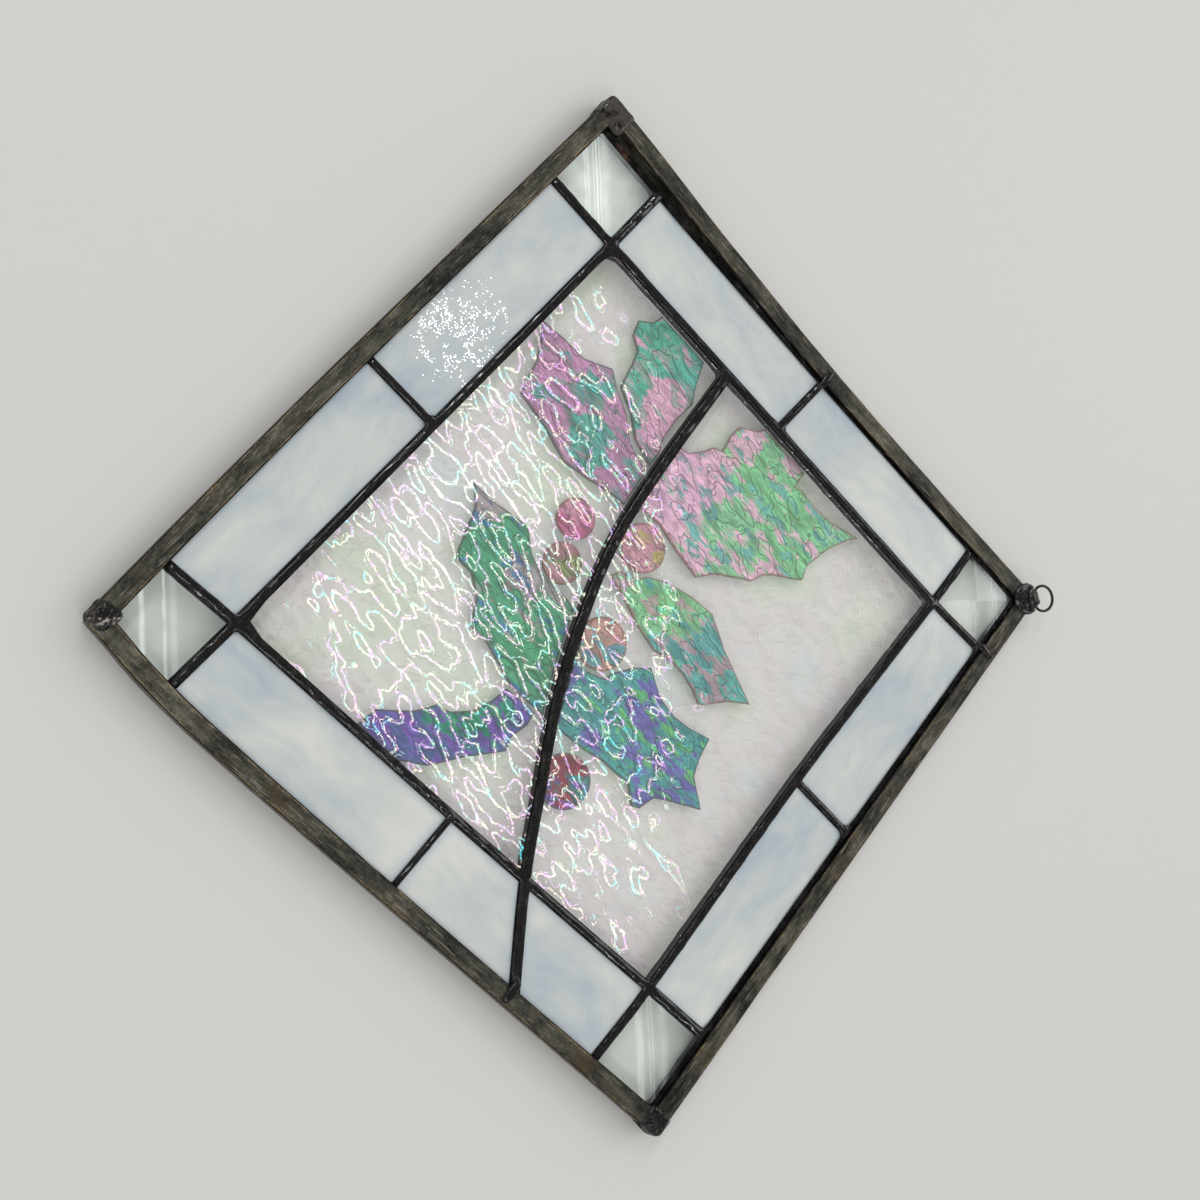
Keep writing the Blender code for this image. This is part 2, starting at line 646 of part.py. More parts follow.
def glass_spots():
    """Name, rough middle and finish of each piece of glass."""
    near, far = (CAME_FACE + BORDER) / 2, SIDE - (CAME_FACE + BORDER) / 2
    yield "bevel_bottom", (near, near), clear_finish
    yield "bevel_left", (near, far), clear_finish
    yield "bevel_right", (far, near), clear_finish
    yield "bevel_top", (far, far), clear_finish
    for side in SIDES:
        cuts = [BORDER, SIDE * sum(DIVIDERS[side]) / 2, SIDE - BORDER]
        if side == "lower_right":
            cuts.insert(2, (SIDE * CURVE_FOOT + in_field(CURVE_ON_LOWER_SEAM, 0)[0]) / 2)
        for number, (low, high) in enumerate(zip(cuts, cuts[1:]), 1):
            yield f"border_{side}_{number}", on_side(side, (low + high) / 2, near), opal_finish
    yield "pane_left", in_field(34, 50), ripple_finish
    yield "pane_right", in_field(67, 50), ripple_finish


def build_glass():
    pieces = cut_sheet("sheet", -GLASS / 2, GLASS / 2, lambda width: FOIL_GAP)
    for name, spot, finish in glass_spots():
        piece = nearest(pieces, spot)
        if name.startswith("bevel"):
            bmesh.ops.recalc_face_normals(piece, faces=piece.faces)
            front = min(piece.faces, key=lambda face: face.calc_center_median().y)
            bmesh.ops.poke(piece, faces=[front], offset=BEVEL_RISE)
        place(name, piece, finish)


def build_holly():
    """Leaves and berries behind the centre panes, each trimmed to the space between the seams."""
    front, back = FACE_HALF, FACE_HALF + LEAF_THICKNESS
    openings = cut_sheet("window", 0, back + MARGIN, lambda width: width + 2 * CLEARANCE)
    leaf_number, berry_number = 0, 0
    for pane, spot, leaves, berries in (("left", in_field(34, 50), LEFT_LEAVES, LEFT_BERRIES),
                                        ("right", in_field(67, 50), RIGHT_LEAVES, RIGHT_BERRIES)):
        window = place(f"window_{pane}", nearest(openings, spot))
        spaces = []
        for x, z, share in berries:
            berry_number += 1
            radius = FIELD * share / 100
            outline = circle(in_field(x, z), radius, BERRY_SEGMENTS)
            berry = place(f"holly_berry_{berry_number}", slab(outline, front, back), berry_finish)
            combine(berry, "INTERSECT", window)
            space = slab(circle(in_field(x, z), radius + CLEARANCE, BERRY_SEGMENTS),
                         front - MARGIN / 4, back + MARGIN / 4)
            spaces.append(place(f"berry_space_{berry_number}", space))
        for outline in leaves:
            leaf_number += 1
            leaf = place(f"holly_leaf_{leaf_number}", slab([in_field(*p) for p in outline], front, back),
                         leaf_finish)
            combine(leaf, "INTERSECT", window)
            combine(leaf, "DIFFERENCE", spaces)
    for unused in openings:
        unused.free()


for existing in list(bpy.data.objects):
    bpy.data.objects.remove(existing)

# the place inside the ring where a hook bears is the origin
bearing = ring_centre() + Vector((DIAGONAL, 0, DIAGONAL)) * (RING_DIAMETER / 2 - RING_WIRE)
panel = bpy.data.objects.new("panel", None)
bpy.context.scene.collection.objects.link(panel)
panel.rotation_euler = (0, -QUARTER, 0)
panel.location = -(panel.rotation_euler.to_matrix() @ bearing)

build_cames()
build_joints()
place("hanging_ring", ring_mesh(RING_WIRE / 2), solder_finish, smooth=True)
build_seams()
build_glass()
build_holly()
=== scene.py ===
# %% [markdown]
# A stained glass suncatcher: a square panel of glass pieces, held by black solder seams in a metal frame,
# that hangs corner up from a small ring. The plain solids are loaded first, as a frame that everything
# else is fitted to, and their box is kept so that the finished pieces can be measured against it.

# %% Load the plain solids
import math

import bmesh
import bpy
from mathutils import Euler, Matrix, Vector, noise
from mathutils.geometry import intersect_point_line


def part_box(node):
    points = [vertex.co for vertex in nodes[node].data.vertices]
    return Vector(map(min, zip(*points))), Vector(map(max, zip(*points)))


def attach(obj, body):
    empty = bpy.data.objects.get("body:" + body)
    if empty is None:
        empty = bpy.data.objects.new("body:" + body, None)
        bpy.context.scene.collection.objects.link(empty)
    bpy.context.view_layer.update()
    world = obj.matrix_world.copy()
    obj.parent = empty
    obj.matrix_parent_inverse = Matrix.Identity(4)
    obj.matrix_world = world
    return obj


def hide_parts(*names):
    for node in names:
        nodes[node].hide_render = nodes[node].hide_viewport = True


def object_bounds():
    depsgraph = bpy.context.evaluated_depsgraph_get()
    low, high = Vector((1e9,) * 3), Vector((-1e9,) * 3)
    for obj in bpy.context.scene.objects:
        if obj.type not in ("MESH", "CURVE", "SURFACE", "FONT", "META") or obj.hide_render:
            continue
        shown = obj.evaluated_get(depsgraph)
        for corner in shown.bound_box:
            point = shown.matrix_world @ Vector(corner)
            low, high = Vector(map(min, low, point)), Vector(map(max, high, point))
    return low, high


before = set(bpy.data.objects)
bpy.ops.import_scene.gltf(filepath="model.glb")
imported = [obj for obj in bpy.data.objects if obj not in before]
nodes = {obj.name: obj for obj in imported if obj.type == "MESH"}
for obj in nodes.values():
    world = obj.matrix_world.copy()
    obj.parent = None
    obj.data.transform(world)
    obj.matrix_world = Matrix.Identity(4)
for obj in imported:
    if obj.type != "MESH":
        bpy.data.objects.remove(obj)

plain_box = [list(corner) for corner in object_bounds()]
print(len(nodes), "plain solids, box in metres", plain_box)

# %% [markdown]
# The panel was laid out square-on and then turned by an eighth of a turn, so that the ring comes on top.
# It is far easier to shape the pieces square-on, with x and z along the frame's sides, and to turn each
# finished mesh at the end. The turn's centre is the panel's bottom corner. Its height follows from the side
# and the ring, and its depth from the box of a length of came, whose front and back are alike.

# %% Panel coordinates
EIGHTH_TURN = Euler((0, -math.pi / 4, 0)).to_matrix().to_4x4()
SIDE = 0.2286
low_came, high_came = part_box("came_lower_left"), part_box("came_upper_right")
mid_depth = (low_came[0][1] + low_came[1][1]) / 2
came_half = (low_came[1][1] - low_came[0][1]) / 2
RING_REACH = 0.00185 + 0.0039          # from the frame's top corner to where a hook bears
bottom_corner = -SIDE * math.sqrt(2) - RING_REACH
to_world = Matrix.Translation((0, mid_depth, bottom_corner)) @ EIGHTH_TURN
to_panel = to_world.inverted()
PANEL_MIDDLE = Vector((0, 0, -0.16))
depth_limits = {-1: mid_depth - plain_box[0][1], 1: plain_box[1][1] - mid_depth}
print("frame from z", round(low_came[0][2], 4), "to", round(high_came[1][2], 4))
print("mid-plane at y", round(mid_depth, 5), "came's half depth", round(came_half, 5))

# %% [markdown]
# The photograph looks at the panel as it lies on a pale table, from beside its bottom corner. Here the
# panel hangs, so the camera stands below and in front of it and is rolled on its side: the picture is the
# same. A camera's place and turn can be given by where it stands, what it looks at and which way is up.

# %% Camera
def put_in_scene(name, data):
    made = bpy.data.objects.new(name, data)
    bpy.context.scene.collection.objects.link(made)
    return made


eye = Vector((0.01911, -0.39089, -0.36814))
forward = Vector((-0.04911, 0.89982, 0.43349)).normalized()
right = Vector((0.04107, -0.43183, 0.90102)).normalized()
picture_up = right.cross(forward)
camera_data = bpy.data.cameras.new("camera")
camera_data.sensor_width = 36
camera_data.lens = 42.75
camera_data.clip_start = 0.01
camera = put_in_scene("camera", camera_data)
turn = Matrix((right, picture_up, -forward)).transposed()
camera.matrix_world = Matrix.Translation(eye) @ turn.to_4x4()
bpy.context.scene.camera = camera
print("camera stands", round((eye - PANEL_MIDDLE).length, 3), "m from the panel's middle")

# %% [markdown]
# Procedural materials are made of nodes. These helpers keep the cells that follow short: they add a node and
# set its values, join a value or another node's socket to an input, and start a node group with named
# sockets, which is how an effect is shared by several materials.

# %% Node helpers
def add(tree, kind, *inputs, **settings):
    node = tree.nodes.new("ShaderNode" + kind)
    for key, value in settings.items():
        setattr(node, key, value)
    for socket, value in zip(node.inputs, inputs):
        feed(tree, value, socket)
    return node


def feed(tree, value, socket):
    if value is None:
        return
    if isinstance(value, bpy.types.NodeSocket):
        tree.links.new(value, socket)
    elif isinstance(value, bpy.types.Node):
        tree.links.new(value.outputs[0], socket)
    else:
        socket.default_value = value


def feed_all(tree, sockets, **values):
    """Feeds sockets by their names, in which _ stands for a space."""
    for label, value in values.items():
        feed(tree, value, sockets[label.replace("_", " ")])


def math_node(tree, operation, a, b=None, c=None):
    return add(tree, "Math", a, b, c, operation=operation).outputs[0]


def vector_math(tree, operation, a, b=None):
    return add(tree, "VectorMath", a, b, operation=operation).outputs[0]


def product(tree, a, b):
    return math_node(tree, "MULTIPLY", a, b)


def times_plus(tree, a, factor, plus):
    return math_node(tree, "MULTIPLY_ADD", a, factor, plus)


def difference(tree, a, b):
    return math_node(tree, "SUBTRACT", a, b)


def larger(tree, a, b):
    return math_node(tree, "MAXIMUM", a, b)


def scaled(tree, vector, factors):
    return vector_math(tree, "MULTIPLY", vector, factors)


def length_of(tree, vector):
    return add(tree, "VectorMath", vector, operation="LENGTH").outputs["Value"]


def dot(tree, a, b):
    return add(tree, "VectorMath", a, b, operation="DOT_PRODUCT").outputs["Value"]


def noisy(tree, place, scale, detail, roughness):
    return add(tree, "TexNoise", place, None, scale, detail, roughness)


def attribute(tree, name):
    return add(tree, "Attribute", attribute_name=name).outputs["Fac"]


def tinted(tree, colour, value):
    """A colour multiplied by a grey value."""
    return mixed(tree, 1.0, colour, add(tree, "CombineColor", value, value, value), blend="MULTIPLY")


def between(tree, value, low, high, to_low=0.0, to_high=1.0):
    """A value read off a smooth step between two limits."""
    node = add(tree, "MapRange", value, low, high, to_low, to_high, interpolation_type="SMOOTHSTEP")
    return node.outputs[0]


def mixed(tree, share, first, second, blend="MIX"):
    node = tree.nodes.new("ShaderNodeMix")
    node.data_type = "RGBA"
    node.blend_type = blend
    feed(tree, share, node.inputs[0])
    feed(tree, first, node.inputs[6])
    feed(tree, second, node.inputs[7])
    return node.outputs[2]


def ramp(tree, value, *stops, interpolation="LINEAR"):
    node = tree.nodes.new("ShaderNodeValToRGB")
    node.color_ramp.interpolation = interpolation
    elements = node.color_ramp.elements
    while len(elements) < len(stops):
        elements.new(0.5)
    for element, (position, colour) in zip(elements, stops):
        element.position = position
        element.color = (*colour[:3], 1)
    feed(tree, value, node.inputs[0])
    return node.outputs[0]


def paint(red, green, blue, veil=0.0):
    """A colour as seen on a screen, 0 to 255, as the linear colour that a shader needs for it in this light.
    The veil is what a pane in front mirrors, which the shader needn't add."""
    seen = [((channel / 255 + 0.055) / 1.055) ** 2.4 for channel in (red, green, blue)]
    return tuple(min(0.95, max(0.006, (value - veil) / 0.8)) for value in seen) + (1,)


def shared_effect(name, inputs, outputs):
    """An empty node group whose sockets are (name, type, default) for inputs and (name, type) for outputs."""
    group = bpy.data.node_groups.new(name, "ShaderNodeTree")
    for label, kind, default in inputs:
        socket = group.interface.new_socket(label, in_out="INPUT", socket_type="NodeSocket" + kind)
        if default is not None:
            socket.default_value = default
    for label, kind in outputs:
        group.interface.new_socket(label, in_out="OUTPUT", socket_type="NodeSocket" + kind)
    return group, group.nodes.new("NodeGroupInput").outputs, group.nodes.new("NodeGroupOutput").inputs


def use(tree, group, **values):
    node = tree.nodes.new("ShaderNodeGroup")
    node.node_tree = group
    feed_all(tree, node.inputs, **values)
    return node.outputs


def finish(name):
    """A new material, with its tree, its Principled shader and the panel's own x and z as a vector."""
    made = bpy.data.materials.new(name)
    made.use_nodes = True
    tree = made.node_tree
    place = add(tree, "TexCoord").outputs["Object"]
    turned = add(tree, "Mapping", place, vector_type="POINT")
    turned.inputs["Location"].default_value = to_panel.to_translation()
    turned.inputs["Rotation"].default_value = to_panel.to_euler()
    return made, tree, tree.nodes["Principled BSDF"], turned.outputs[0]


def bumped(tree, shader, height, strength, distance):
    bump = add(tree, "Bump", strength, distance)
    feed(tree, height, bump.inputs["Height"])
    feed(tree, bump, shader.inputs["Normal"])


print("node helpers ready")

# %% [markdown]
# Metal that has been handled for years is never one colour. The patina is blotched, thin where hands and
# cloths rubbed it, and scratched. This group gives a blotch mask, a fine grain and long scratches from
# noise, stretched along whichever way its Stretch input asks. Every metal finish uses it with its own values.

# %% Worn metal group
worn, worn_in, worn_out = shared_effect(
    "worn_metal",
    [("Place", "Vector", None), ("Blotch Size", "Float", 90.0), ("Stretch", "Vector", (1, 1, 1)),
     ("Scratch Size", "Float", 700.0)],
    [("Blotch", "Float"), ("Grain", "Float"), ("Scratch", "Float"), ("Height", "Float")])
stretched = scaled(worn, worn_in["Place"], worn_in["Stretch"])
blotch = noisy(worn, stretched, worn_in["Blotch Size"], 6.0, 0.62)
grain = noisy(worn, worn_in["Place"], 2600.0, 3.0, 0.6)
scratch_place = scaled(worn, stretched, worn_in["Stretch"])
scratch = noisy(worn, scratch_place, worn_in["Scratch Size"], 2.0, 0.5)
height = times_plus(worn, grain, 0.35, blotch)
feed_all(worn, worn_out, Blotch=blotch, Grain=grain, Scratch=between(worn, scratch, 0.6, 0.72),
         Height=times_plus(worn, scratch, 0.4, height))
print("group", worn.name, "has", len(worn.nodes), "nodes")

# %% [markdown]
# The frame is zinc-coloured came under a dark patina: grey-olive on its face, worn to a brassy line a little
# inside both of its edges, with brown stains and pale scratches along the length. The outermost strip of the
# face at each edge is made almost black. To know where its edges are, each length of came carries an
# attribute that says how far a point is across its face, from 0 in the middle to 1 at an edge, and more than
# 1 on its side walls.

# %% Came finish
def came_finish(name, along):
    made, tree, shader, place = finish(name)
    across = attribute(tree, "across")
    stretch = (0.25, 1, 1) if along == "x" else (1, 1, 0.25)
    wear = use(tree, worn, Place=place, Blotch_Size=420.0, Stretch=stretch, Scratch_Size=2300.0)
    patches = noisy(tree, place, 48.0, 6.0, 0.68)
    mottle = noisy(tree, place, 950.0, 5.0, 0.75)
    tone = times_plus(tree, patches.outputs[0], 0.4, product(tree, wear["Blotch"], 0.35))
    tone = times_plus(tree, mottle.outputs[0], 0.25, tone)
    ground = ramp(tree, tone, (0.4, paint(20, 19, 17)), (0.46, paint(46, 45, 40)),
                  (0.53, paint(72, 71, 62)), (0.63, paint(112, 110, 96)))
    stain = between(tree, patches.outputs["Color"], 0.53, 0.64)
    browned = mixed(tree, product(tree, stain, 0.6), ground, paint(74, 56, 34))
    ragged = times_plus(tree, difference(tree, wear["Blotch"], 0.5), 0.35, across)
    line = product(tree, between(tree, ragged, 0.74, 0.8), between(tree, ragged, 0.88, 0.83))
    thin = product(tree, between(tree, wear["Grain"], 0.42, 0.56),
                   between(tree, patches.outputs[0], 0.46, 0.56))
    brass = mixed(tree, product(tree, line, thin), browned, paint(150, 128, 92))
    # The outermost strip of the face at each edge is made almost black.
    edge = product(tree, between(tree, ragged, 0.82, 0.9), between(tree, ragged, 1.25, 1.05))
    edged = mixed(tree, product(tree, edge, 0.85), brass, paint(24, 16, 12))
    bright = mixed(tree, product(tree, wear["Scratch"], 0.4), edged, paint(165, 160, 145))
    feed_all(tree, shader.inputs, Base_Color=bright, Metallic=0.12, IOR=1.3,
             Roughness=times_plus(tree, wear["Blotch"], 0.5, 0.12))
    bumped(tree, shader, wear["Height"], 0.8, 0.0005)
    return made


came_patina = {along: came_finish(f"came_patina_{along}", along) for along in "xz"}
print("came finishes", [made.name for made in came_patina.values()])

# %% [markdown]
# Solder flows, cools and takes a black patina. It is glossy, rippled where the iron paused, and where it was
# rubbed the grey tin shows through a little. One finish serves the seams, the corner joints and the ring,
# with more wear on the joints.

# %% Solder finish
def solder_finish(name, wear_share, rubbed_from=0.6, gloss=1.0, copper_at=None, scratched=None):
    """copper_at is the (middle, reach) of bare foil; scratched is (across the joint, low, high)."""
    made, tree, shader, place = finish(name)
    wear = use(tree, worn, Place=place, Blotch_Size=330.0, Scratch_Size=2100.0)
    black = ramp(tree, wear["Blotch"], (0.4, (0.002, 0.002, 0.002)), (0.52, (0.004, 0.0035, 0.0035)),
                 (0.62, (0.014, 0.011, 0.01)), (0.72, (0.05, 0.036, 0.03)))
    rubbed = product(tree, between(tree, wear["Blotch"], rubbed_from, rubbed_from + 0.14), wear_share)
    tin = mixed(tree, rubbed, black, paint(120, 114, 108))
    colour = mixed(tree, product(tree, wear["Scratch"], 0.5 * wear_share), tin, paint(205, 200, 195))
    if copper_at:
        middle, reach = copper_at
        away = vector_math(tree, "DIVIDE", vector_math(tree, "SUBTRACT", place, middle), reach)
        near = between(tree, length_of(tree, away), 1.2, 0.7)
        bare = product(tree, near, between(tree, wear["Blotch"], 0.4, 0.5))
        colour = mixed(tree, product(tree, bare, 0.5), colour, paint(126, 88, 68))
    if scratched:
        across_joint, low, high = scratched
        off = dot(tree, place, across_joint)
        soft = 0.0004
        band = product(tree, between(tree, off, low, low + soft), between(tree, off, high, high - soft))
        scraped = noisy(tree, scaled(tree, place, (1, 1, 0.4)), 1500.0, 4.0, 0.7)
        raw = product(tree, band, between(tree, scraped.outputs[0], 0.47, 0.6))
        colour = mixed(tree, product(tree, raw, 0.85), colour, paint(168, 162, 154))
    rise = math_node(tree, "ABSOLUTE", add(tree, "SeparateXYZ", place).outputs["Y"])
    crown = between(tree, times_plus(tree, wear["Blotch"], 0.0004, rise), 0.0023, 0.0027)
    feed_all(tree, shader.inputs, Base_Color=mixed(tree, crown, (0.002, 0.002, 0.002, 1), colour),
             Metallic=0.05, IOR=1.2, Roughness=times_plus(tree, wear["Blotch"], 0.6, 0.05),
             Coat_Weight=times_plus(tree, crown, 0.9 * gloss, 0.1 * gloss),
             Coat_Roughness=0.06, Coat_IOR=1.45)
    wrinkle = noisy(tree, place, 380.0, 1.0, 0.5)
    off_middle = math_node(tree, "ABSOLUTE", difference(tree, wrinkle.outputs[0], 0.5))
    crease = between(tree, off_middle, 0.0, 0.03)
    height = times_plus(tree, crease, 0.22, product(tree, wrinkle.outputs[0], 0.5))
    height = times_plus(tree, wear["Height"], 0.6 * wear_share, height)
    bumped(tree, shader, height, 0.9, 0.0009)
    return made


seam_black = solder_finish("solder_black", 0.1, copper_at=((0.017, 0, 0.2182), (0.0055, 1, 0.0013)))
joint_black = solder_finish("solder_black_rubbed", 0.25)
joint_scraped = solder_finish("solder_black_scraped", 0.3, scratched=((-0.707, 0, 0.707), -0.0022, 0.0002))
joint_grey = solder_finish("solder_grey", 0.26, rubbed_from=0.36, gloss=0.5)
print("solder finishes", seam_black.name, joint_black.name, joint_scraped.name, joint_grey.name)

# %% [markdown]
# Cleaning the loaded solids: their meshes are loose triangles, so each is copied, merged and turned square-on
# before it is shaped, and the finished mesh is turned back. The object's place stays in its mesh.

# %% Copies of the plain solids
def square_on(node):
    """A merged copy of a node's mesh in panel coordinates, with its flat faces whole."""
    bm = bmesh.new()
    bm.from_mesh(nodes[node].data)
    bmesh.ops.remove_doubles(bm, verts=bm.verts, dist=0.000005)
    bmesh.ops.transform(bm, matrix=to_panel, verts=bm.verts)
    bmesh.ops.dissolve_limit(bm, angle_limit=0.01, verts=bm.verts, edges=bm.edges)
    return bm


def meshed(name, bm, material):
    """The finished mesh as an object."""
    mesh = bpy.data.meshes.new(name)
    bm.to_mesh(mesh)
    bm.free()
    mesh.materials.append(material)
    return put_in_scene(name, mesh)


def hang(name, bm, material, node, smooth_below=40):
    """Turns a square-on mesh to its hanging place and makes the piece that stands for its node."""
    bmesh.ops.transform(bm, matrix=to_world, verts=bm.verts)
    piece = meshed(name, bm, material)
    piece.data.shade_smooth()
    piece.data.set_sharp_from_angle(angle=math.radians(smooth_below))
    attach(piece, "root")
    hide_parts(node)
    print(name, len(piece.data.polygons), "faces")


def cut_in_lanes(bm, direction, spacing, low, high):
    """Cuts every face with parallel planes, so that a flat face can be bent and dented."""
    steps = int((high - low) / spacing)
    for step in range(1, steps):
        point = Vector(direction) * (low + (high - low) * step / steps)
        everything = bm.verts[:] + bm.edges[:] + bm.faces[:]
        bmesh.ops.bisect_plane(bm, geom=everything, plane_co=point, plane_no=direction, dist=0.000001)


def refine(bm, longest):
    """Halves every edge over a length, once, and leaves triangles."""
    long_edges = [e for e in bm.edges if e.calc_length() > longest]
    bmesh.ops.subdivide_edges(bm, edges=long_edges, cuts=1)
    bmesh.ops.triangulate(bm, faces=[f for f in bm.faces if len(f.verts) > 3])


def outline_edges(bm):
    """The edges between a cut piece's side walls and its flat faces."""
    walls = [f for f in bm.faces if abs(f.normal.y) < 0.5]
    return [e for e in bm.edges if len({f in walls for f in e.link_faces}) == 2]


def soft_noise(point, size, seed=0.0):
    return noise.noise(Vector(point) / size + Vector((seed, seed * 1.7, -seed)))


HAIR = 0.00002


def press_within_depth(bm):
    """Presses what stands proud of the frame back to the plain solids' depth, all of it in proportion."""
    for side, limit in depth_limits.items():
        highest = max(side * v.co.y for v in bm.verts)
        room = limit - HAIR - came_half
        share = min(1.0, room / max(HAIR, highest - came_half))
        for vert in bm.verts:
            if side * vert.co.y > came_half:
                vert.co.y = side * (came_half + (side * vert.co.y - came_half) * share)


print("helpers for meshes ready")

# %% [markdown]
# Each length of came is a U of thin metal. In the photograph its face is slightly crowned and dented, and its
# edges are soft. The plain solid already has the right bow, so it is cut across into short lengths, its long
# edges are bevelled, and every point is then moved a little by noise that is stretched along the length.

# %% Lengths of came
CAME_LANE = 0.0018                     # how long the short lengths of came are
ON_SIDE_WALL = 1.4                     # what the attribute says there


def dress_came(side, along):
    bm = square_on(f"came_{side}")
    axis = Vector((1, 0, 0) if along == "x" else (0, 0, 1))

    def lengthwise(edge):
        return abs((edge.verts[0].co - edge.verts[1].co).normalized().dot(axis)) > 0.9

    arrises = [e for e in bm.edges if len(e.link_faces) == 2 and e.calc_face_angle(0) > 0.9 and lengthwise(e)]
    bmesh.ops.bevel(bm, geom=arrises, offset=0.00022, segments=2, profile=0.5, affect="EDGES", material=-1)
    cut_in_lanes(bm, axis, CAME_LANE, 0, SIDE)
    wide = [e for e in bm.edges if e.calc_length() > 0.003 and not lengthwise(e)]
    bmesh.ops.subdivide_edges(bm, edges=wide, cuts=5, use_grid_fill=True)
    across = bm.verts.layers.float.new("across")
    rows = {}
    for vert in bm.verts:
        run, span = (vert.co.x, vert.co.z) if along == "x" else (vert.co.z, vert.co.x)
        rows.setdefault(round(run / CAME_LANE), []).append((span, vert))
    for row in rows.values():
        low, high = min(span for span, _ in row), max(span for span, _ in row)
        for span, vert in row:
            on_face = abs(vert.co.y) > came_half - 0.0005
            from_middle = abs(2 * (span - low) / max(high - low, 0.001) - 1)
            vert[across] = from_middle if on_face else ON_SIDE_WALL
    for vert in bm.verts:
        x, y, z = vert.co
        run, span = (x, z) if along == "x" else (z, x)
        dent = max(0.0, soft_noise((run, 0, span * 2), 0.016, 3.0)) * 0.0003
        dent += abs(soft_noise((run, y, span), 0.005, 5.0)) * 0.0001
        if abs(y) > came_half - 0.0004:
            crown = 0.00016 * vert[across] ** 2
            vert.co.y -= math.copysign(crown + dent, y)
    hang(f"dressed_came_{side}", bm, came_patina[along], f"came_{side}")


for side, along in (("lower_left", "z"), ("lower_right", "x"), ("upper_left", "x"), ("upper_right", "z")):
    dress_came(side, along)

# %% [markdown]
# The seams are one body of solder. Real beads swell and neck in every few millimetres and are crossed by
# fine ripples. The plain solid's mesh is refined until its triangles are small enough, smoothed so that its
# facets go, and moved in and out by noise.

# %% Solder seams
glass_half = 0.0015
FOIL_LIP = 0.0004                      # the flat edge of a bead over the glass
BEAD_TOP = 0.0034
bm = square_on("solder_seams")
bmesh.ops.triangulate(bm, faces=bm.faces)
for longest in (0.006, 0.003, 0.0016, 0.0011):
    refine(bm, longest)
print("seams cut to", len(bm.faces), "triangles")
for smoothing in range(2):
    beads = [v for v in bm.verts if abs(v.co.y) > glass_half + FOIL_LIP]
    bmesh.ops.smooth_vert(bm, verts=beads, factor=0.5, use_axis_x=True, use_axis_y=True, use_axis_z=True)
bm.normal_update()
for vert in bm.verts:
    rise = abs(vert.co.y) - glass_half - FOIL_LIP
    if rise > 0.0001 and abs(vert.co.y) < BEAD_TOP:
        swell = soft_noise(vert.co, 0.0048, 1.0) * 0.0003 + soft_noise(vert.co, 0.0019, 2.0) * 0.0001
        vert.co += vert.normal * swell
hang("dressed_solder_seams", bm, seam_black, "solder_seams")

# %% [markdown]
# Solder closes each corner. Where the two lengths of came meet it was dabbed on and worked with the iron:
# flat and creased along the mitre at one corner, a low black drop at the others. Each is a rounded block that
# wraps the corner. Its faces lie a hair above the came's and are made uneven by a coarse and a fine noise.
# The corner's tip is cut off square to the diagonal. The top joint keeps its high drop, which holds the
# ring, and is only roughened. What comes to stand out past the plain solids' depth is pressed back.

# %% Corner joints
def corner_block(node, middle, half_x, half_z, tip, seed, material, squareness, rise, roughness, crease=0.0):
    """tip is the way out of the corner and a point of the flat cut across it, each as an x and a z."""
    bm = bmesh.new()
    bmesh.ops.create_icosphere(bm, subdivisions=6, radius=1)
    for vert in bm.verts:
        x, y, z = (math.copysign(abs(c) ** squareness, c) for c in vert.co)
        vert.co = Vector((middle[0] + x * half_x, y * (came_half + rise), middle[1] + z * half_z))
    bm.normal_update()
    outward = Vector((tip[0], 0, tip[1])).normalized()
    edge = Vector((tip[2], 0, tip[3]))
    for vert in bm.verts:
        coarse = soft_noise(vert.co, 0.0026, seed)
        ridge = abs(soft_noise(vert.co, 0.0011, seed + 3))
        facing = abs(vert.normal.y)
        mitre = abs((vert.co - edge).dot(Vector((outward.z, 0, -outward.x))))
        fold = crease * max(0.0, 1 - mitre / 0.0007)
        lump = (coarse * 0.0006 + ridge * 0.0004) * roughness
        vert.co.y += math.copysign(lump * facing + fold, vert.co.y)
        vert.co += Vector((vert.normal.x, 0, vert.normal.z)) * (coarse * 0.0006) * (1 - facing)
    everything = bm.verts[:] + bm.edges[:] + bm.faces[:]
    bmesh.ops.bisect_plane(bm, geom=everything, plane_co=edge, plane_no=outward, clear_outer=True)
    bmesh.ops.holes_fill(bm, edges=[e for e in bm.edges if e.is_boundary])
    press_within_depth(bm)
    hang(f"dressed_{node}", bm, material, node, smooth_below=50)


corner_block("solder_joint_bottom", (0.0036, 0.0041), 0.0039, 0.0044, (-1, -1, 0.00049, 0.00049), 11,
             joint_scraped, 0.55, 0.00045, 0.9)
corner_block("solder_joint_left", (0.0051, SIDE - 0.0042), 0.0055, 0.0047, (-1, 1, 0.0005, SIDE - 0.0005),
             14, joint_grey, 0.3, 0.0004, 0.35, 0.0003)
corner_block("solder_joint_right", (SIDE - 0.0038, 0.0034), 0.0046, 0.0042, (1, -1, SIDE - 0.0005, 0.0005),
             19, joint_black, 0.5, 0.0008, 0.7)

bm = square_on("solder_joint_top")
bmesh.ops.triangulate(bm, faces=bm.faces)
for cut in range(3):
    refine(bm, 0.0005)
bm.normal_update()
for vert in bm.verts:
    if abs(vert.co.y) > came_half + 0.00035:
        lump = soft_noise(vert.co, 0.0031, 7.0) * 0.0017 + abs(soft_noise(vert.co, 0.0013, 9.0)) * 0.0005
        vert.co += vert.normal * (lump - 0.0009)
press_within_depth(bm)
hang("dressed_solder_joint_top", bm, joint_black, "solder_joint_top", smooth_below=60)

# %% [markdown]
# The ring is a loop of stout wire, bent by hand and blackened with the solder. Its mesh is only made finer,
# a little thinner and uneven.

